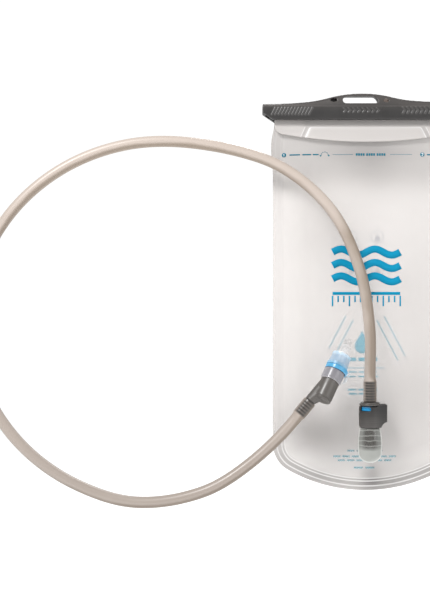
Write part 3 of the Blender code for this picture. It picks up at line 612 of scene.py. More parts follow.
def tube_material():
    """Warm milky tube: pale, with painted light and shade across it, the deeper line of its bore placed by
    that painted light, and dark barbs showing at its ends.
    """
    look = Look("tube_vinyl", (0.47, 0.41, 0.36), 0.32)
    drift = look.mix(look.noise(18.0), (0.46, 0.39, 0.34), (0.52, 0.45, 0.40))
    # Painted light and shade: paler where the surface faces up and to the left, darker on the stretch that
    # lies over the bag; the bore's deeper line follows it.
    uneven = look.remap(look.noise(30.0), 0.3, 0.7, -0.12, 0.12)
    painted_shade_on_bag = look.remap(look.along(VALVE, RIGHT), -55.0, -15.0, 0.0, -0.42)
    lit = look.maths("ADD", look.maths("ADD", look.slope((-0.5, -0.15, 0.85)), uneven), painted_shade_on_bag)
    bore = look.ramp(look.remap(lit, -0.9, 0.5, 0.0, 1.0),
                     [(0.0, 0.75), (0.10, 0.95), (0.38, 1.0), (0.52, 0.55), (0.66, 0.0), (1.0, 0.12)])
    tone = look.mix(bore, drift, (0.285, 0.228, 0.180))
    # Painted shade: darker towards the bottom.
    tone = look.vector("MULTIPLY", tone, look.remap(look.along(VALVE, UP), -60.0, 200.0, 0.70, 1.0))
    barbs = look.maths("MAXIMUM", barb_bands(look, ARM_END, ARM_AXIS, BARB_LENGTH, 2.5),
                       barb_bands(look, VALVE, UP, CORE_BARB, 2.25))
    core = look.remap(look.facing(), 0.15, 0.55, 1.0, 0.35)
    look.set("Base Color", look.mix(look.times(barbs, core), tone, (0.036, 0.032, 0.029)))
    return look.finish((60.0, 0.30, 0.42), (700.0, 0.02, 0.3))


def port_material():
    """Clear where it enters the bag, ice blue along the barrel, grey-violet at the sleeve."""
    look = Look("port_plastic", (0.6, 0.75, 0.9), 0.22)
    place = look.remap(look.along(PORT, PORT_AXIS), -10.0, 40.0, 0.0, 1.0)
    milk, frost, ice = (0.76, 0.73, 0.71), (0.47, 0.64, 0.79), (0.39, 0.515, 0.645)
    blue, violet = (0.22, 0.52, 0.76), (0.275, 0.267, 0.288)
    colours = [(0.0, milk), (0.43, milk), (0.45, frost), (0.478, frost), (0.50, ice), (0.61, ice),
               (0.67, blue), (0.68, blue), (0.70, violet), (0.94, violet), (0.96, milk)]
    look.set("Base Color", look.ramp(place, colours))
    covers = [(0.0, 0.03), (0.42, 0.03), (0.45, 0.62), (0.475, 0.62), (0.50, 0.52), (0.60, 0.54),
              (0.67, 0.60), (0.69, 0.74), (0.75, 0.80), (1.0, 0.84)]
    cover = look.ramp(place, covers)
    cover = look.times(cover, look.remap(look.facing(0.4), 0.0, 1.0, 0.8, 1.9))
    look.set("Alpha", look.maths("MINIMUM", cover, 1.0))
    return look.finish((150.0, 0.16, 0.28), (500.0, 0.03, 0.4))


def slider_material(face):
    """Grey moulding with painted light paler on its top and slopes, edges paler partly rubbed and partly
    painted highlight, and painted highlights on its raised marks.
    """
    look = Look("slider_plastic", (0.029, 0.0275, 0.027), 0.36)
    tone = look.pale_edges_and_painted_shade(look.mottle(35.0, 0.10), 0.5)
    # Painted light: paler towards the top and on up-facing slopes, painted highlights on the raised marks,
    # painted light on the right recess's floor.
    height = look.remap(look.along(Vector(), UP), -14.0, -2.0, 0.0, 0.6)
    painted_light_upward = look.remap(look.slope(UP), 0.3, 0.9, 0.0, 0.6)
    raised = look.remap(look.along(Vector((0.0, face, 0.0)), FRONT), 0.04, 0.24, 0.0, 0.22)
    lit_well = look.near(Vector((RECESSES[1][0], -1.5, RECESSES[1][1])), 2.2, 0.8)
    for share, colour in ((height, (0.080, 0.071, 0.067)), (painted_light_upward, (0.125, 0.112, 0.105)),
                          (raised, (0.12, 0.112, 0.108)), (lit_well, (0.34, 0.28, 0.25))):
        tone = look.mix(share, tone, colour)
    look.set("Base Color", tone)
    return look.finish((90.0, 0.30, 0.44), (2600.0, 0.05, 0.35))


def button_material():
    """Blue collar; its thumb tab is clear and milky."""
    look = Look("button_blue", (0.10, 0.42, 0.70), 0.22)
    tab = look.remap(look.along(PORT, BUTTON_SIDE), 9.6, 10.8, 0.0, 1.0)
    look.set("Base Color", look.mix(tab, look.mottle(60.0, 0.05), (0.74, 0.78, 0.80)))
    cover = look.remap(look.facing(), 0.0, 1.0, 0.62, 0.95)
    look.set("Alpha", look.maths("MULTIPLY_ADD", tab, -0.40, cover))
    return look.finish((150.0, 0.18, 0.26), (700.0, 0.03, 0.5))


# ---- Bag ----

CORNER_X = BAG_HALF - CORNER_RADIUS
ARC_Z = BAG_BOTTOM + BOTTOM_RADIUS
CORNER_Z = ARC_Z - math.sqrt((BOTTOM_RADIUS - CORNER_RADIUS) ** 2 - CORNER_X ** 2)
TOUCH_X = CORNER_X * BOTTOM_RADIUS / (BOTTOM_RADIUS - CORNER_RADIUS)


def bottom_edge(across):
    across = abs(across)
    if across <= TOUCH_X:
        return ARC_Z - math.sqrt(BOTTOM_RADIUS ** 2 - across ** 2)
    return CORNER_Z - math.sqrt(max(CORNER_RADIUS ** 2 - (across - CORNER_X) ** 2, 0.0))


def edge_distance(across, z):
    """Distance in from the bag's outline."""
    across = abs(across)
    side = BAG_HALF - across
    if z >= CORNER_Z:
        return side
    if across * (ARC_Z - CORNER_Z) > CORNER_X * (ARC_Z - z):
        return CORNER_RADIUS - math.hypot(across - CORNER_X, z - CORNER_Z)
    return min(side, BOTTOM_RADIUS - math.hypot(across, z - ARC_Z))


def flap_edge(across):
    across = abs(across)
    start = NECK_HALF - FLAP_CORNER
    if across <= start:
        return FLAP_BOTTOM + across ** 2 / (2.0 * FLAP_RADIUS)
    corner_z = FLAP_BOTTOM + start ** 2 / (2.0 * FLAP_RADIUS) + FLAP_CORNER
    return corner_z - math.sqrt(max(FLAP_CORNER ** 2 - (across - start) ** 2, 0.0))


def film_rise(across, z):
    sides = swell(BAG_HALF - abs(across) - WELD_WIDTH, 34.0)
    return sides * swell(z - bottom_edge(across) - WELD_WIDTH, 60.0) * swell(NECK_Z - z, 90.0)


def plain_film_y(across, z, side):
    """The CAD's middle surface of a film."""
    bulge = FRONT_BULGE if side < 0 else BACK_BULGE
    centre = (FRONT_FOLD + BACK_FOLD) / 2 * (1.0 - ease((NECK_Z - z) / 36.0))
    return centre + side * ((BACK_FOLD - FRONT_FOLD) / 2 + bulge * film_rise(across, z))


def ripple(across, z, side):
    """Soft undulation of a part-filled bag: outwards is positive."""
    broad = 2.4 * noise.noise(Vector((across * 0.014, z * 0.009, 3.0 * side)))
    small = 0.6 * noise.noise(Vector((across * 0.034, z * 0.020, 7.0 * side)))
    rise = (broad + small) * ease((edge_distance(across, z) - WELD_WIDTH) / 26.0) * ease((NECK_Z - z) / 50.0)
    if rise > 0.0:
        rise = MOST_RIPPLE * math.tanh(rise / MOST_RIPPLE)
    crease = bump(BAG_X + across + 16.0 - (z + 280.0) * 0.42, 7.0) * bump(z + 281.0, 26.0)
    return rise + (0.5 * crease if side < 0 else 0.0)


def port_calm(across, z):
    """0 around the port's flange, 1 away from it."""
    return ease((math.hypot(BAG_X + across - PORT.x, z - PORT.z) - 17.0) / 14.0)


def bottom_share(z):
    """0 along the straight sides, 1 round the bottom, where the weld shows its ridges."""
    return ease((-284.0 - z) / 34.0)


def weld_ridges(inset, z):
    return (0.05 + 0.09 * bottom_share(z)) * (bump(inset - 3.5, 0.9) + bump(inset - 7.8, 0.9))


def film_y(across, z, side):
    calm = port_calm(across, z) if side < 0 else 1.0
    out = ripple(across, z, side) * calm + weld_ridges(edge_distance(across, z), z)
    return plain_film_y(across, z, side) + side * out


def field_inset(across, z):
    """Distance inside the flap's pressed trapezoid."""
    return min(FIELD_HALF + (NECK_Z - z) * FIELD_SLANT - abs(across), NECK_Z - z - FIELD_DROP)


def flap_y(across, z, layer):
    drop = 2.0 * FRONT_FOLD + 0.8 * ease((NECK_Z - z) / 6.0)
    return plain_film_y(across, z, -1) - drop - layer * (BACK_FOLD - FRONT_FOLD)


BODY_ROWS = 150
FLAP_ROWS = 26
FILM_COLUMNS = 100
FOLD_ARC = 12
# An inset that lies past every weld line.
FAR_IN = 20.0


def film_rows(fold):
    """What each row of a film is, from the bottom weld to the flap's edge."""
    body = [("body", (k / BODY_ROWS) ** 1.5) for k in range(BODY_ROWS + 1)]
    turn = [("fold", (y, FOLD_Z + z)) for y, z in arc((0.0, 0.0), fold, 0, 180, FOLD_ARC)]
    return body + turn + [("flap", k / FLAP_ROWS) for k in range(FLAP_ROWS + 1)]


# Soft clouds of painted shade and shadow in the film: x, z, half width, half height in mm, and how much
# darker.
PAINTED_SHADE_CLOUDS = [
    (6, -47, 62, 16, 0.20), (10, -66, 24, 26, 0.08), (46, -75, 40, 26, 0.05), (-30, -122, 32, 24, 0.07),
    (48, -262, 44, 56, 0.16), (-40, -290, 38, 30, 0.42), (9, -331, 11, 17, 0.30), (25, -285, 13, 34, 0.12),
    (60, -180, 28, 80, 0.08), (50, -318, 40, 24, 0.06), (-12, -268, 12, 16, 0.10), (10, -302, 60, 26, 0.08),
    (4, -326, 95, 13, 0.12),
]


def body_drift_and_painted_shade(across, z):
    """How light the film looks: a little random drift, painted shade dim under the flap, and soft clouds of
    painted shade and shadow, many of them low down.
    """
    tone = 1.0 + noise.noise(Vector((across * 0.016, z * 0.011, 5.0))) * 0.035
    for x, height, wide, tall, depth in PAINTED_SHADE_CLOUDS:
        reach = math.hypot((BAG_X + across - x) / wide, (z - height) / tall)
        tone -= depth * math.exp(-1.6 * reach * reach)
    return tone - 0.21 * ease((z + 88.0) / 26.0)


def clearness(across, z, side):
    """The front film is the clearer one away from the welds, the back film the milkier one."""
    inner = ease((edge_distance(across, z) - WELD_WIDTH) / 24.0) * ease((NECK_Z - z - 12.0) / 40.0)
    return -0.20 * side * inner


def body_point(spread, share, side):
    across = spread * BAG_HALF
    z = bottom_edge(across) + (NECK_Z - bottom_edge(across)) * share
    pinch = 1.0 + (NECK_HALF / BAG_HALF - 1.0) * ease(1.0 - (NECK_Z - z) / 16.0)
    wing = 1.6 * bump(z + 44.0, 24.0) * spread ** 5
    place = (BAG_X + across * pinch + wing, film_y(across, z, side), z)
    ridge = 0.10 + 0.90 * bottom_share(z)
    return place, edge_distance(across, z), 0.0, body_drift_and_painted_shade(across, z), ridge, clearness(across, z, side)


def flap_point(across, share, side):
    z = NECK_Z + (flap_edge(across) - NECK_Z) * share
    y = flap_y(across, z, 0 if side < 0 else 1) - 0.12 * bump(z - flap_edge(across) - 1.0, 1.0)
    if side > 0:
        field = field_inset(across, z)
        y -= 0.7 * ease(field / 1.8 + 0.3) - 0.35 * bump(field + 1.6, 1.4)
    # Painted shade: the flap darkens towards its top under the slider, with less of it at the left end.
    tone = 0.89 - 0.22 * ease((z + 26.6) / 1.4) - 0.54 * ease((z + 24.0) / 2.2)
    tone += 0.16 * ease((-across - 50.0) / 8.0) * ease((z + 27.0) / 1.6)
    return (BAG_X + across, y, z), FAR_IN, 0.3 + 0.7 * ease(share * 3.0), tone, 0.0, 0.0


def film_point(kind, value, spread, side):
    """Place, and how the film looks there: distance in from its edge, flap, tone with its painted shade,
    ridges and clearness.
    """
    if kind == "body":
        return body_point(spread, value, side)
    if kind == "flap":
        return flap_point(spread * NECK_HALF, value, side)
    # The fold inside the slider gets a dim tone: painted shade.
    return (BAG_X + spread * NECK_HALF, *value), FAR_IN, 0.3, 0.4, 0.0, 0.0


def film_sheet(name, side, fold, material, node):
    rows = film_rows(fold)
    shares = [2.0 * k / FILM_COLUMNS - 1.0 for k in range(FILM_COLUMNS + 1)]
    spreads = [math.copysign(1.0 - (1.0 - abs(share)) ** 1.5, share) for share in shares]
    cells = [film_point(kind, value, spread, side) for kind, value in rows for spread in spreads]
    width = len(spreads)
    corners = [row * width + column for row in range(len(rows) - 1) for column in range(FILM_COLUMNS)]
    faces = [(k, k + 1, k + width + 1, k + width) for k in corners]
    piece = new_piece(name, [cell[0] for cell in cells], faces)
    for index, label in enumerate(("inset", "flap", "tone", "ridge", "clear"), 1):
        layer = piece.data.attributes.new(label, "FLOAT", "POINT")
        layer.data.foreach_set("value", [cell[index] for cell in cells])
    wall = piece.modifiers.new("film", "SOLIDIFY")
    wall.thickness = FILM * MM
    wall.offset = 0.0
    apply_all(piece)
    return dress(piece, "reservoir", material, [node])


def build_bag():
    film = film_material()
    return (film_sheet("front_film", -1, FRONT_FOLD, film, "front_panel"),
            film_sheet("back_film", 1, BACK_FOLD, film, "back_panel"))


# ---- Hard parts ----

def shoulder(piece, side):
    """The slope that carries the slider's face up into its handle."""
    high = box("slider")[1]
    reach = high.x - 3.0
    foot = -9.4
    tree = BVHTree.FromObject(piece, bpy.context.evaluated_depsgraph_get())
    rings = []
    for k in range(SHOULDER_STEPS + 1):
        x = reach * (2.0 * k / SHOULDER_STEPS - 1.0)
        top = tree.ray_cast(Vector((x, 0.0, 50.0)) * MM, -UP)[0].z / MM
        peak = foot + (top - foot) * 0.80
        bend = foot + (peak - foot) * 0.30
        section = [(high.y - 0.5, foot), (5.3, bend), (3.4, peak), (3.4, foot)]
        rings.append([Vector((x, side * y, z)) for y, z in section])
    first, last = [[sum(ring, Vector()) / 4] for ring in (rings[0], rings[-1])]
    return loft("slope", [first] + rings + [last])


def rib(x, face):
    half, lean, top, foot = 0.5, 1.7, -10.0, -16.6
    outline = [(x - half - lean, foot), (x + half - lean, foot),
               (x + half + lean, top), (x - half + lean, top)]
    return prism("rib", outline, face - 0.5, face + 0.4, FLAT)


def chevron(x, face, tall=3.0, thick=0.9, reach=1.6):
    """An arrow head that points to the right."""
    z = -12.6
    outline = [(x, z + tall), (x + thick, z + tall), (x + thick + reach, z), (x + thick, z - tall),
               (x, z - tall), (x + reach, z)]
    return prism("chevron", outline, face - 0.5, face + 0.4, FLAT)


SLOT = [(12.9, -6.2), (14.4, -5.7), (15.2, -4.5), (14.9, -3.1), (13.4, -1.2), (12.1, -0.3), (10.6, 0.1)]
RECESSES = [(-23.2, -3.1, 3.0, 1.7, 1.5), (21.8, -3.9, 2.4, 1.3, -1.5)]


def slot_cutter():
    return prism("slot", SLOT + arc((-12.45, -3.05), 3.15, 90, 270, 10), -8.0, 8.0, FLAT)


def recess_cutter(x, z, wide, tall, floor):
    outline = [(x + wide * a, z + tall * b) for a, b in disc((0.0, 0.0), 1.0)]
    return prism("recess", outline, -8.0, floor, FLAT)


def build_slider():
    low, high = box("slider")
    piece = bpy.data.objects.new("slider_body", frame["nodes"]["slider"].data.copy())
    bpy.context.scene.collection.objects.link(piece)
    tidy_mesh(piece)
    extras = [chevron(index * 4.1 - 15.5, low.y, 2.0, 0.8) for index in range(8)]
    for side, face in ((-1, low.y), (1, high.y + 0.15)):
        slope = boolean(shoulder(piece, side), slot_cutter())
        if side < 0:
            for recess in RECESSES:
                boolean(slope, recess_cutter(*recess))
        extras.append(slope)
        extras += [rib(-43.5 - 2.9 * index, face) for index in range(12)]
        extras += [chevron(35.3 + 3.8 * index, face) for index in range(11)]
    join(piece, extras)
    mould(piece, 0.42, 3)
    dress(piece, "closure", slider_material(low.y), ["slider"])


def build_port():
    """Socket and neck in one moulding; the socket's bore holds the shut-off."""
    barrel = arc((0.0, 0.0), BARREL_R, 90, 0, 12)
    barrel += [(BARREL_R + out, z) for out, z in (
        (0.0, -11.9), (0.3, -12.2), (0.3, -13.6), (0.0, -14.0), (0.1, -15.5))]
    barrel += [(SLEEVE_R + out, z) for out, z in (
        (-0.1, -BARREL_FOOT), (0.3, -BARREL_FOOT - 0.5), (0.3, 0.3 - GROOVE_START), (0.0, -GROOVE_START),
        (GROOVE_R - SLEEVE_R, -GROOVE_START), (GROOVE_R - SLEEVE_R, -GROOVE_END), (-0.3, -GROOVE_END),
        (0.0, -GROOVE_END - 0.4), (0.0, 1.6 - RIM), (-0.35, 1.3 - RIM), (-0.35, 0.3 - RIM), (-0.6, -RIM),
        (-SLEEVE_R, -RIM))]
    piece = lathe("port_shell", barrel, PORT_SPACE)
    face = BAG_LOW.y - PORT.y + 0.7
    back = face + 1.5
    flange = [(0.0, back), (FLANGE_R - 0.4, back), (FLANGE_R, back - 0.4), (FLANGE_R, face), (NECK_R, face),
              (NECK_R, 0.0), (0.0, 0.0)]
    boolean(piece, lathe("neck", flange, NECK_SPACE), "UNION")
    inlet = [(0.0, 0.0), (INLET_R, 0.0), (INLET_R, 20.0), (0.0, 20.0)]
    boolean(piece, lathe("inlet", inlet, NECK_SPACE, sides=40))
    bore = arc((0.0, 0.0), SOCKET_BORE, 90, 0, 10)
    bore += [(SOCKET_BORE, 0.4 - RIM), (SOCKET_BORE + 1.0, -RIM - 0.6), (0.0, -RIM - 0.6)]
    boolean(piece, lathe("bore", bore, PORT_SPACE))
    dress(tidy_mesh(piece), "reservoir", port_material(), ["port_body"], crease=35)


def build_button():
    """Collar in the socket's groove, set off by half its travel, with a ridged thumb tab."""
    offset = 0.75
    inner = GROOVE_R + 0.3 + offset
    outer = 9.7
    top, foot = -GROOVE_START - 0.3, -GROOVE_END + 0.3
    tab_in = SLEEVE_R + 1.8
    tab_out = tab_in + 1.6
    space = PORT_SPACE @ Matrix.Translation((offset, 0.0, 0.0))
    section = [(inner, top), (outer, top), (outer, foot), (inner, foot)]
    ring = lathe("release_collar", section, space, closed=True)
    blocks = [((outer - 0.6, -4.0, foot), (tab_out - 0.3, 4.0, top)),
              ((tab_in, -4.5, -33.0), (tab_out, 4.5, top - 0.6))]
    blocks += [((tab_out - 0.2, -3.4, z - 0.35), (tab_out + 0.25, 3.4, z + 0.35))
               for z in (-27.0, -28.8, -30.6)]
    join(ring, [block("tab", low, high, PORT_SPACE) for low, high in blocks])
    mould(ring, 0.22, 2)
    dress(ring, "button", button_material(), ["release_button"])


def barb_profile(top, length, ridges):
    """Sharp rings that lean towards the hose's foot."""
    pitch = length / ridges
    shape = ((BARB_ROOT, 0.05), (BARB_R, 0.15), (BARB_R, 0.45), (BARB_ROOT, 0.95))
    return [(radius, top - (index + down) * pitch) for index in range(ridges) for radius, down in shape]


def seal_groove(radius, root, top, width):
    return [(radius, top), (root, top), (root, top - width), (radius, top - width)]


def build_elbow():
    profile = [(0.0, -48.0), (HOSE_BORE, -48.0), (HOSE_BORE, -PLUG_TIP), (4.8, -PLUG_TIP)]
    profile += seal_groove(4.8, 3.5, -20.4, 2.0) + seal_groove(4.8, 3.5, -24.2, 2.0)
    profile += [(4.8, -RIM - 0.3), (PLUG_R, -RIM - 0.3)]
    profile += [(PLUG_R - inset, -PLUG_END + up) for inset, up in (
        (0.0, 2.6), (0.5, 2.4), (0.5, 1.6), (0.1, 1.4), (0.5, 0.4), (1.6, 0.0))]
    profile.append((0.0, -PLUG_END + 0.5))
    piece = lathe("plug_body", profile, PORT_SPACE)
    arm = [(0.0, ARM_LENGTH - 4.0), (ARM_R, ARM_LENGTH - 4.0), (ARM_R, 0.0)]
    arm += barb_profile(0.0, BARB_LENGTH, 6) + [(HOSE_BORE, -BARB_LENGTH), (0.0, -BARB_LENGTH)]
    gusset = ring_points(PORT_SPACE, PLUG_R - 0.3, -RIM - 0.4) + ring_points(PORT_SPACE, PLUG_R - 0.5, -46.5)
    gusset += ring_points(ARM_SPACE, ARM_R + 0.2, 0.4)
    join(piece, [lathe("arm", arm, ARM_SPACE), hull("gusset", gusset)])
    mould(piece, 0.22, 2)
    material = moulded_plastic("elbow_plastic", (0.088, 0.080, 0.073), 0.36, 0.2)
    dress(piece, "hose", material, ["plug_elbow"])


# ---- Drink tube ----

def tube_knots():
    points = [ARM_END + ARM_AXIS * 0.3, ARM_END + ARM_AXIS * 17.0]
    points += [Vector((-97.5, -40.5, -312.0)), Vector((-137.5, -44.5, -335.0))]
    for x, z in arc((0.0, 0.0), 1.0, *LOOP_ANGLES, LOOP_KNOTS):
        depth = LOOP_LOW_Y + (LOOP_HIGH_Y - LOOP_LOW_Y) * ease((len(points) - 4) / LOOP_KNOTS)
        points.append(LOOP_CENTRE + Vector((LOOP_RADIUS_X * x, depth, LOOP_RADIUS_Z * z)))
    points += [Vector(place) for place in (
        (-87.6, -16.0, -54.8), (-52.2, -16.5, -74.3), (-22.3, -19.5, -106.7), (-3.0, -23.5, -152.7),
        (4.6, -25.0, -200.0))]
    return points + [VALVE + UP * 20.0, VALVE + UP * 0.3]


def tube_path(steps=20):
    """The CAD tube's middle line, drawn finely."""
    knots = tube_knots()
    last = len(knots) - 1
    headings = [(knots[min(k + 1, last)] - knots[max(k - 1, 0)]).normalized() for k in range(last + 1)]
    headings[:2] = [ARM_AXIS, ARM_AXIS]
    headings[-2:] = [-UP, -UP]
    path = []
    for k in range(last):
        start, end = knots[k], knots[k + 1]
        third = (end - start).length / 3
        a, b = start + headings[k] * third, end - headings[k + 1] * third
        for t in [step / steps for step in range(steps)]:
            path.append(start * (1 - t) ** 3 + a * 3 * t * (1 - t) ** 2
                        + b * 3 * t * t * (1 - t) + end * t ** 3)
    return path + [knots[-1]]


def sweep(name, path, outer, inner, sides):
    """A hollow tube along a path; outer and inner give radii at each distance along it."""
    lengths = [0.0]
    for before, here in zip(path, path[1:]):
        lengths.append(lengths[-1] + (here - before).length)
    side = FRONT.cross(path[1] - path[0])
    stations = []
    for k, here in enumerate(path):
        tangent = (path[min(k + 1, len(path) - 1)] - path[max(k - 1, 0)]).normalized()
        side = (side - tangent * side.dot(tangent)).normalized()
        stations.append((Matrix((side, tangent.cross(side), here)).transposed(), lengths[k]))
    rings = []
    for radius, order in ((outer, stations), (inner, stations[::-1])):
        for space, along in order:
            circle = arc((0.0, 0.0), radius(along, lengths[-1]), 0, 360, sides)[:-1]
            rings.append([space @ Vector((x, y, 1.0)) for x, y in circle])
    return loft(name, rings, closed=True)


def grip(along, total):
    """1 where a barb stretches the tube, 0 away from it."""
    at_arm = ease((BARB_LENGTH + 2.5 - along) / 4.0)
    return max(at_arm, ease((CORE_BARB + 2.5 - total + along) / 4.0))


def tube_outside(along, total):
    from_end = min(along, total - along)
    ripple_here = 0.10 * math.cos(from_end * 2.0 * math.pi / 2.4)
    lip = -0.4 * bump(from_end, 0.5)
    return TUBE_R + grip(along, total) * (GRIP * 0.8 + ripple_here) + lip


def tube_inside(along, total):
    return BORE_R + grip(along, total) * GRIP


def build_tube():
    piece = sweep("tube_wall", tube_path(), tube_outside, tube_inside, 32)
    dress(piece, "hose", tube_material(), ["drink_tube"], crease=60)


# ---- Bite valve ----

def build_core():
    profile = [(0.0, -13.2), (1.7, -13.2), (1.7, CORE_BARB), (HOSE_BORE, CORE_BARB)]
    profile += barb_profile(CORE_BARB, CORE_BARB, 8)
    profile += [(7.6, 0.0), (8.2, -0.3), (8.2, -1.1), (9.1, -1.5), (9.1, -2.3), (8.8, -2.6), (4.6, -2.6)]
    profile += seal_groove(4.6, 3.3, -7.2, 1.9) + seal_groove(4.6, 3.3, -15.0, 1.9)
    profile += [(4.6, -18.0), (0.0, -18.0)]
    piece = lathe("valve_spindle", soft_profile(profile, 0.2, 2), VALVE_SPACE)
    material = moulded_plastic("core_plastic", (0.070, 0.063, 0.057), 0.30, 0.2)
    dress(piece, "hose", material, ["valve_core"], crease=40)


def build_shutoff():
    bore = 5.15
    profile = [(bore, BODY_BOTTOM + 1.6), (bore, -7.0), (7.7, -7.0), (7.7, BODY_TOP),
               (VALVE_R - 0.7, BODY_TOP), (VALVE_R, BODY_TOP - 0.7), (VALVE_R, BODY_BOTTOM + 1.0),
               (VALVE_R - 0.9, BODY_BOTTOM)]
    ribs = 6
    pitch = (BODY_BOTTOM - STEM_BOTTOM) / ribs
    for index in range(ribs):
        radius = 7.3 - 0.22 * index
        start = BODY_BOTTOM - index * pitch
        profile += [(radius - 1.3, start - 0.1), (radius, start - 0.35 * pitch),
                    (radius, start - 0.62 * pitch), (radius - 1.3, start - 0.9 * pitch)]
    profile += [(4.4, STEM_BOTTOM), (2.5, STEM_BOTTOM), (2.5, BODY_BOTTOM + 1.6)]
    body = lathe("shutoff_shell", profile, VALVE_SPACE, closed=True)
    wing_top, wing_foot = BODY_TOP + 1.3, BODY_BOTTOM + 1.2
    # The wing's sides leave the round body along its tangents.
    plan = arc((0.0, 0.0), VALVE_R, 60, -60, 12)
    plan += [(WING_REACH - 0.4, -5.0), (WING_REACH, -4.0), (WING_REACH, 4.0), (WING_REACH - 0.4, 5.0)]
    corners = [VALVE_SPACE @ Vector((x, y, z)) for x, y in plan for z in (wing_top, wing_foot - 0.8)]
    wing = hull("wing", corners)
    scoop = arc((WING_REACH + 0.6, wing_foot - 2.2), 6.0, 0, 360, 48)[:-1]
    boolean(wing, prism("scoop", scoop, -12.0, 12.0, VALVE_SPACE))
    for radius, foot in ((8.2, -24.0), (9.4, BODY_TOP)):
        clearance = [(0.0, 1.0), (radius, 1.0), (radius, foot), (0.0, foot)]
        boolean(wing, lathe("clearance", clearance, VALVE_SPACE))
    window = arc((-2.0, -5.5), 1.75, -90, 90, 10) + [(-9.6, -3.75), (-9.6, -7.25)]
    boolean(body, prism("window", window, -12.0, -2.0, VALVE_SPACE))
    join(body, [wing])
    mould(body, 0.24, 2)
    dress(body, "bite_valve", valve_material(), ["shutoff_body"])


def build_sheath():
    top = BODY_BOTTOM - 0.3
    tip = SHEATH_TIP + 8.6
    shell = [(8.35 * x, tip - 6.9 * z) for x, z in arc((0.0, 0.0), 1.0, 90, 0, 15)]
    inside = [(8.5, top - 13.5), (8.1, top - 8.0), (7.5, top - 3.5), (7.4, top)]
    outside = [(8.3, top), (8.9, top - 0.6), (9.0, top - 2.5), (9.5, top - 5.5), (9.95, top - 9.0),
               (SHEATH_R, top - 13.5)]
    dome = [(9.95 * x, tip - 8.6 * z) for x, z in arc((0.0, 0.0), 1.0, 0, 90, 15)]
    piece = lathe("bite_sleeve", soft_profile(shell + inside + outside + dome, 0.8), VALVE_SPACE)
    boolean(piece, block("slit", (-4.2, -0.12, SHEATH_TIP - 1.0), (4.2, 0.12, SHEATH_TIP + 3.2), VALVE_SPACE))
    dress(piece, "bite_valve", sheath_material(), ["bite_sheath"], crease=50)


# ---- Prints ----

class Printer:
    """Lays flat ink shapes on the front of a film, following its relief."""

    def __init__(self, film, lift=0.05):
        self.tree = BVHTree.FromObject(film, bpy.context.evaluated_depsgraph_get())
        self.lift = lift
        self.verts = []
        self.faces = []

    def put(self, x, z):
        hit = self.tree.ray_cast(Vector((x, -50.0, z)) * MM, -FRONT)[0]
        self.verts.append((x, (hit.y / MM if hit else 0.0) - self.lift, z))
        return len(self.verts) - 1

    def stroke(self, points, width, closed=False):
        """A band of even width along a line of (x, z) points."""
        loop = points + points[:1] if closed else points
        dense = []
        for (x0, z0), (x1, z1) in zip(loop, loop[1:]):
            steps = max(1, int(math.hypot(x1 - x0, z1 - z0) / 2.0))
            dense += [(x0 + (x1 - x0) * k / steps, z0 + (z1 - z0) * k / steps) for k in range(steps)]
        dense.append(loop[-1])
        before = dense[-2:-1] if closed else dense[:1]
        after = dense[1:2] if closed else dense[-1:]
        edges = []
        for (x0, z0), (x, z), (x1, z1) in zip(before + dense, dense, dense[1:] + after):
            scale = width / 2 / (math.hypot(x1 - x0, z1 - z0) or 1.0)
            out, up = (z0 - z1) * scale, (x1 - x0) * scale
            edges.append((self.put(x + out, z + up), self.put(x - out, z - up)))
        for (a, b), (c, d) in zip(edges, edges[1:]):
            self.faces.append((a, b, d, c))

    def blob(self, outline, centre):
        """A filled shape that its centre can see all of."""
        middle_vert = self.put(*centre)
        inner, outer = [[self.put(centre[0] + (x - centre[0]) * share, centre[1] + (z - centre[1]) * share)
                         for x, z in outline] for share in (0.5, 1.0)]
        for k in range(len(outline)):
            self.faces.append((middle_vert, inner[k - 1], inner[k]))
            self.faces.append((inner[k - 1], outer[k - 1], outer[k], inner[k]))

    def finish(self, name, *look):
        piece = new_piece(name, self.verts, self.faces)
        skin = piece.modifiers.new("skin", "SOLIDIFY")
        skin.thickness = 0.03 * MM
        skin.offset = 1.0
        apply_all(piece)
        dress(piece, "reservoir", ink(*look))


def disc(centre, radius):
    return arc(centre, radius, 0, 345, 23)


def numeral(printer, digit, x, z, height):
    """A plain 1 or 2, drawn as one stroke."""
    w = height * 0.28
    h = height / 2
    if digit == 1:
        printer.stroke([(x - w, z + h * 0.45), (x, z + h), (x, z - h)], height * 0.2)
        return
    top = arc((x, z + h - w * 1.05), w * 1.05, 160, -20, 8)
    printer.stroke(top + [(x - w, z - h), (x + w * 1.2, z - h)], height * 0.2)


def drop(centre, size):
    """Outline of a water drop."""
    x, z = centre
    points = arc((x, z - size * 0.25), size * 0.5, 150, 390, 20)
    shoulder_z = z + size * 0.45
    return points + [(x + size * 0.16, shoulder_z), (x, z + size * 0.75), (x - size * 0.16, shoulder_z)]


def wave(x0, x1, z, height, swings):
    shares = [k / 16 / swings for k in range(16 * swings + 1)]
    return [(x0 + (x1 - x0) * s, z + height * math.sin(2.0 * math.pi * swings * s)) for s in shares]


def printed_line(printer, z, half, width):
    """A line of print as short generic bars."""
    count = max(2, int(half / 4))
    pitch = 2.0 * half / count
    gap = 0.22 * pitch if width > 1.0 else 0.0
    for k in range(count):
        start = 4.0 - half + pitch * k
        printer.stroke([(start, z), (start + pitch - gap, z)], width)


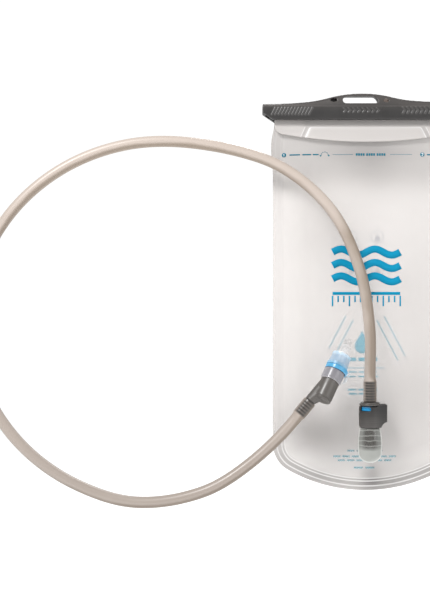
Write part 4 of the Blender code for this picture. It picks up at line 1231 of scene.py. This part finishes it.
def front_prints(film):
    row_z, first_x, second_x = -50.6, -66.2, 53.0
    row = Printer(film)
    for x in (first_x, second_x):
        row.blob(disc((x, row_z), 1.9), (x, row_z))
    for start, end, width in ((-61.5, -52.5, 1.1), (-50.5, -43.0, 1.1), (-41.5, -36.5, 1.1),
                              (-24.5, -7.0, 0.3), (25.0, 44.0, 0.3), (57.0, 62.5, 1.1), (64.0, 72.0, 1.1)):
        row.stroke([(start, row_z), (end, row_z)], width)
    for start in range(0, 180, 36):
        row.stroke(arc((-31.4, row_z - 0.8), 3.1, start, start + 22, 3), 0.55)
    for x in (-34.9, -27.9):
        row.blob([(x - 1.0, row_z - 0.4), (x + 1.0, row_z - 0.4), (x, row_z - 2.0)], (x, row_z - 0.9))
    for x in [start + 2.0 * k for start in (-4.5, 4.5, 13.5) for k in range(4)]:
        row.stroke([(x, row_z), (x + 1.55, row_z)], 2.1)
    row.finish("row_print", "ink_teal", (0.004, 0.150, 0.225), 0.92)
    # The emblem: three heavy waves over a graduated line.
    emblem = Printer(film)
    left, right, ticks = -25.0, 33.0, 12
    for z in (-135.0, -146.5, -158.0):
        emblem.stroke(wave(left, right, z, 2.6, 2), 6.2)
    emblem.stroke([(left, -170.5), (right, -170.5)], 2.6)
    for k in range(ticks + 1):
        x = left + (right - left) * k / ticks
        emblem.stroke([(x, -172.5), (x, -178.0 if k % 3 else -181.5)], 1.3)
    emblem.finish("front_print", "ink_blue", (0.0, 0.235, 0.40), 1.0)
    low = Printer(film)
    for z, half in ((-306.0, 16.0), (-311.0, 28.0), (-314.5, 24.0), (-321.0, 10.0)):
        printed_line(low, z, half, 1.5)
    low.finish("low_print", "ink_low", (0.02, 0.39, 0.51), 0.30)
    white = Printer(film, 0.09)
    numeral(white, 1, first_x, row_z, 2.3)
    numeral(white, 2, second_x, row_z, 2.3)
    white.finish("print_numerals", "ink_white", (0.9, 0.9, 0.9), 1.0)


def back_prints(film):
    label = Printer(film)
    for x0, z0, x1, z1 in ((-5.4, -194.0, -20.0, -222.0), (15.5, -194.0, 34.0, -229.0)):
        for shift in (0.0, 7.5):
            out, up = math.copysign(shift * 0.85, x1 - x0), shift * 0.5
            label.stroke([(x0 + out, z0 + up), (x1 + out, z1 + up)], 0.8)
    label.blob(drop((2.5, -213.0), 13.0), (2.5, -216.0))
    for z, half, width in ((-228.0, 14.0, 3.2), (-235.5, 18.0, 0.6), (-239.0, 13.0, 1.1), (-243.0, 15.0, 1.1),
                           (-254.5, 14.0, 1.4), (-258.0, 13.0, 1.4)):
        printed_line(label, z, half, width)
    # The back print glows a little: painted light, so it stays bright seen through the front film.
    label.finish("back_print", "ink_back", (0.02, 0.34, 0.47), 0.9, 0.35)
    faint = Printer(film)
    for x, z in itertools.product((-7.0, 16.0), (-121.0, -150.0)):
        faint.stroke(disc((x, z), 5.4), 0.7, closed=True)
        faint.blob(drop((x, z - 0.5), 5.0), (x, z - 1.7))
    faint.finish("faint_print", "ink_faint", (0.42, 0.47, 0.56), 0.30)


def dress_cad_nodes():
    rubber = Look("seal_rubber", (0.02, 0.02, 0.02), 0.6)
    rubber.mottle(120.0, 0.15)
    clear = Look("clear_plastic", (0.85, 0.87, 0.88), 0.25)
    clear.mottle(60.0, 0.05)
    clear.see_through(0.12, 0.30)
    steel = Look("spring_steel", (0.6, 0.6, 0.6), 0.28)
    steel.set("Metallic", 1.0)
    steel.see_through(0.25, 0.4)
    choices = (
        (moulded_plastic("weld_strip", (0.80, 0.80, 0.79), 0.4, 0.1), ("back_rail", "flap_rail")),
        (moulded_plastic("white_plastic", (0.82, 0.84, 0.86), 0.35, 0.1), ("flap_stiffener",)),
        (moulded_plastic("indicator_blue", (0.0, 0.27, 0.60), 0.45, 0.1), ("valve_indicator",)),
        (clear.finish((150.0, 0.20, 0.30), (700.0, 0.03, 0.5)), ("valve_seat", "poppet", "poppet_seal")),
        (steel.finish((400.0, 0.2, 0.35), (1500.0, 0.02, 0.3)), ("poppet_spring",)),
        (rubber.finish(grain=(1800.0, 0.04, 0.4)),
         ("plug_seal_tip", "plug_seal_rear", "core_seal_upper", "core_seal_lower")),
    )
    for material, names in choices:
        for name in names:
            mesh = frame["nodes"][name].data
            mesh.materials.clear()
            mesh.materials.append(material)
            mesh.shade_smooth()
            mesh.set_sharp_from_angle(angle=math.radians(40.0))


# ---- Stage ----

def build_stage():
    floor_z = CAD_BOX[0][2] / MM - 120.0
    rings = [(r, 0.0) for r in (0.0, 400.0, 800.0, 1600.0)]
    floor = lathe("floor", rings, Matrix.Translation((BAG_X, 0.0, floor_z)), sides=96)
    look = Look("floor_white", (0.92, 0.92, 0.92), 0.9)
    look.mottle(3.0, 0.01)
    look.set("Emission Color", (1.0, 1.0, 1.0))
    look.set("Emission Strength", 0.35)
    floor.data.materials.append(look.material)


def area_light(name, place, size, power):
    light = bpy.data.lights.new(name, "AREA")
    light.shape = "DISK"
    light.size = size * MM
    light.energy = power
    thing = bpy.data.objects.new(name, light)
    bpy.context.scene.collection.objects.link(thing)
    thing.location = Vector(place) * MM
    thing.rotation_euler = (LIGHT_TARGET - Vector(place)).to_track_quat("-Z", "Y").to_euler()


def build_lights():
    world = bpy.data.worlds.new("studio")
    bpy.context.scene.world = world
    world.use_nodes = True
    tree = world.node_tree
    mix = tree.nodes.new("ShaderNodeMixShader")
    rays = tree.nodes.new("ShaderNodeLightPath")
    tree.links.new(rays.outputs["Is Camera Ray"], mix.inputs["Fac"])
    for index, strength in ((1, LIT_STRENGTH), (2, SEEN_STRENGTH)):
        sky = tree.nodes.new("ShaderNodeBackground")
        sky.inputs["Color"].default_value = (1.0, 1.0, 1.0, 1.0)
        sky.inputs["Strength"].default_value = strength
        tree.links.new(sky.outputs["Background"], mix.inputs[index])
    tree.links.new(mix.outputs["Shader"], tree.nodes["World Output"].inputs["Surface"])
    area_light("key", (-700.0, -850.0, 950.0), 500.0, 21.0)
    area_light("fill", (950.0, -900.0, 100.0), 800.0, 4.0)
    area_light("rim", (200.0, 900.0, 800.0), 600.0, 6.0)


def build_camera():
    camera = bpy.data.cameras.new("camera")
    camera.sensor_fit = "VERTICAL"
    camera.sensor_height = 24.0
    camera.lens = camera.sensor_height * CAMERA_DISTANCE / SEEN_HEIGHT
    thing = bpy.data.objects.new("camera", camera)
    bpy.context.scene.collection.objects.link(thing)
    thing.location = Vector((VIEW_X, -CAMERA_DISTANCE, VIEW_Z)) * MM
    thing.rotation_euler = (math.radians(90.0), 0.0, 0.0)
    bpy.context.scene.camera = thing


def main():
    bpy.context.scene.view_settings.view_transform = "Standard"
    bpy.context.scene.cycles.transparent_max_bounces = 32
    front, back = build_bag()
    build_slider()
    build_port()
    build_button()
    build_elbow()
    build_tube()
    build_core()
    build_shutoff()
    build_sheath()
    front_prints(front)
    back_prints(back)
    dress_cad_nodes()
    build_stage()
    build_lights()
    build_camera()


main()
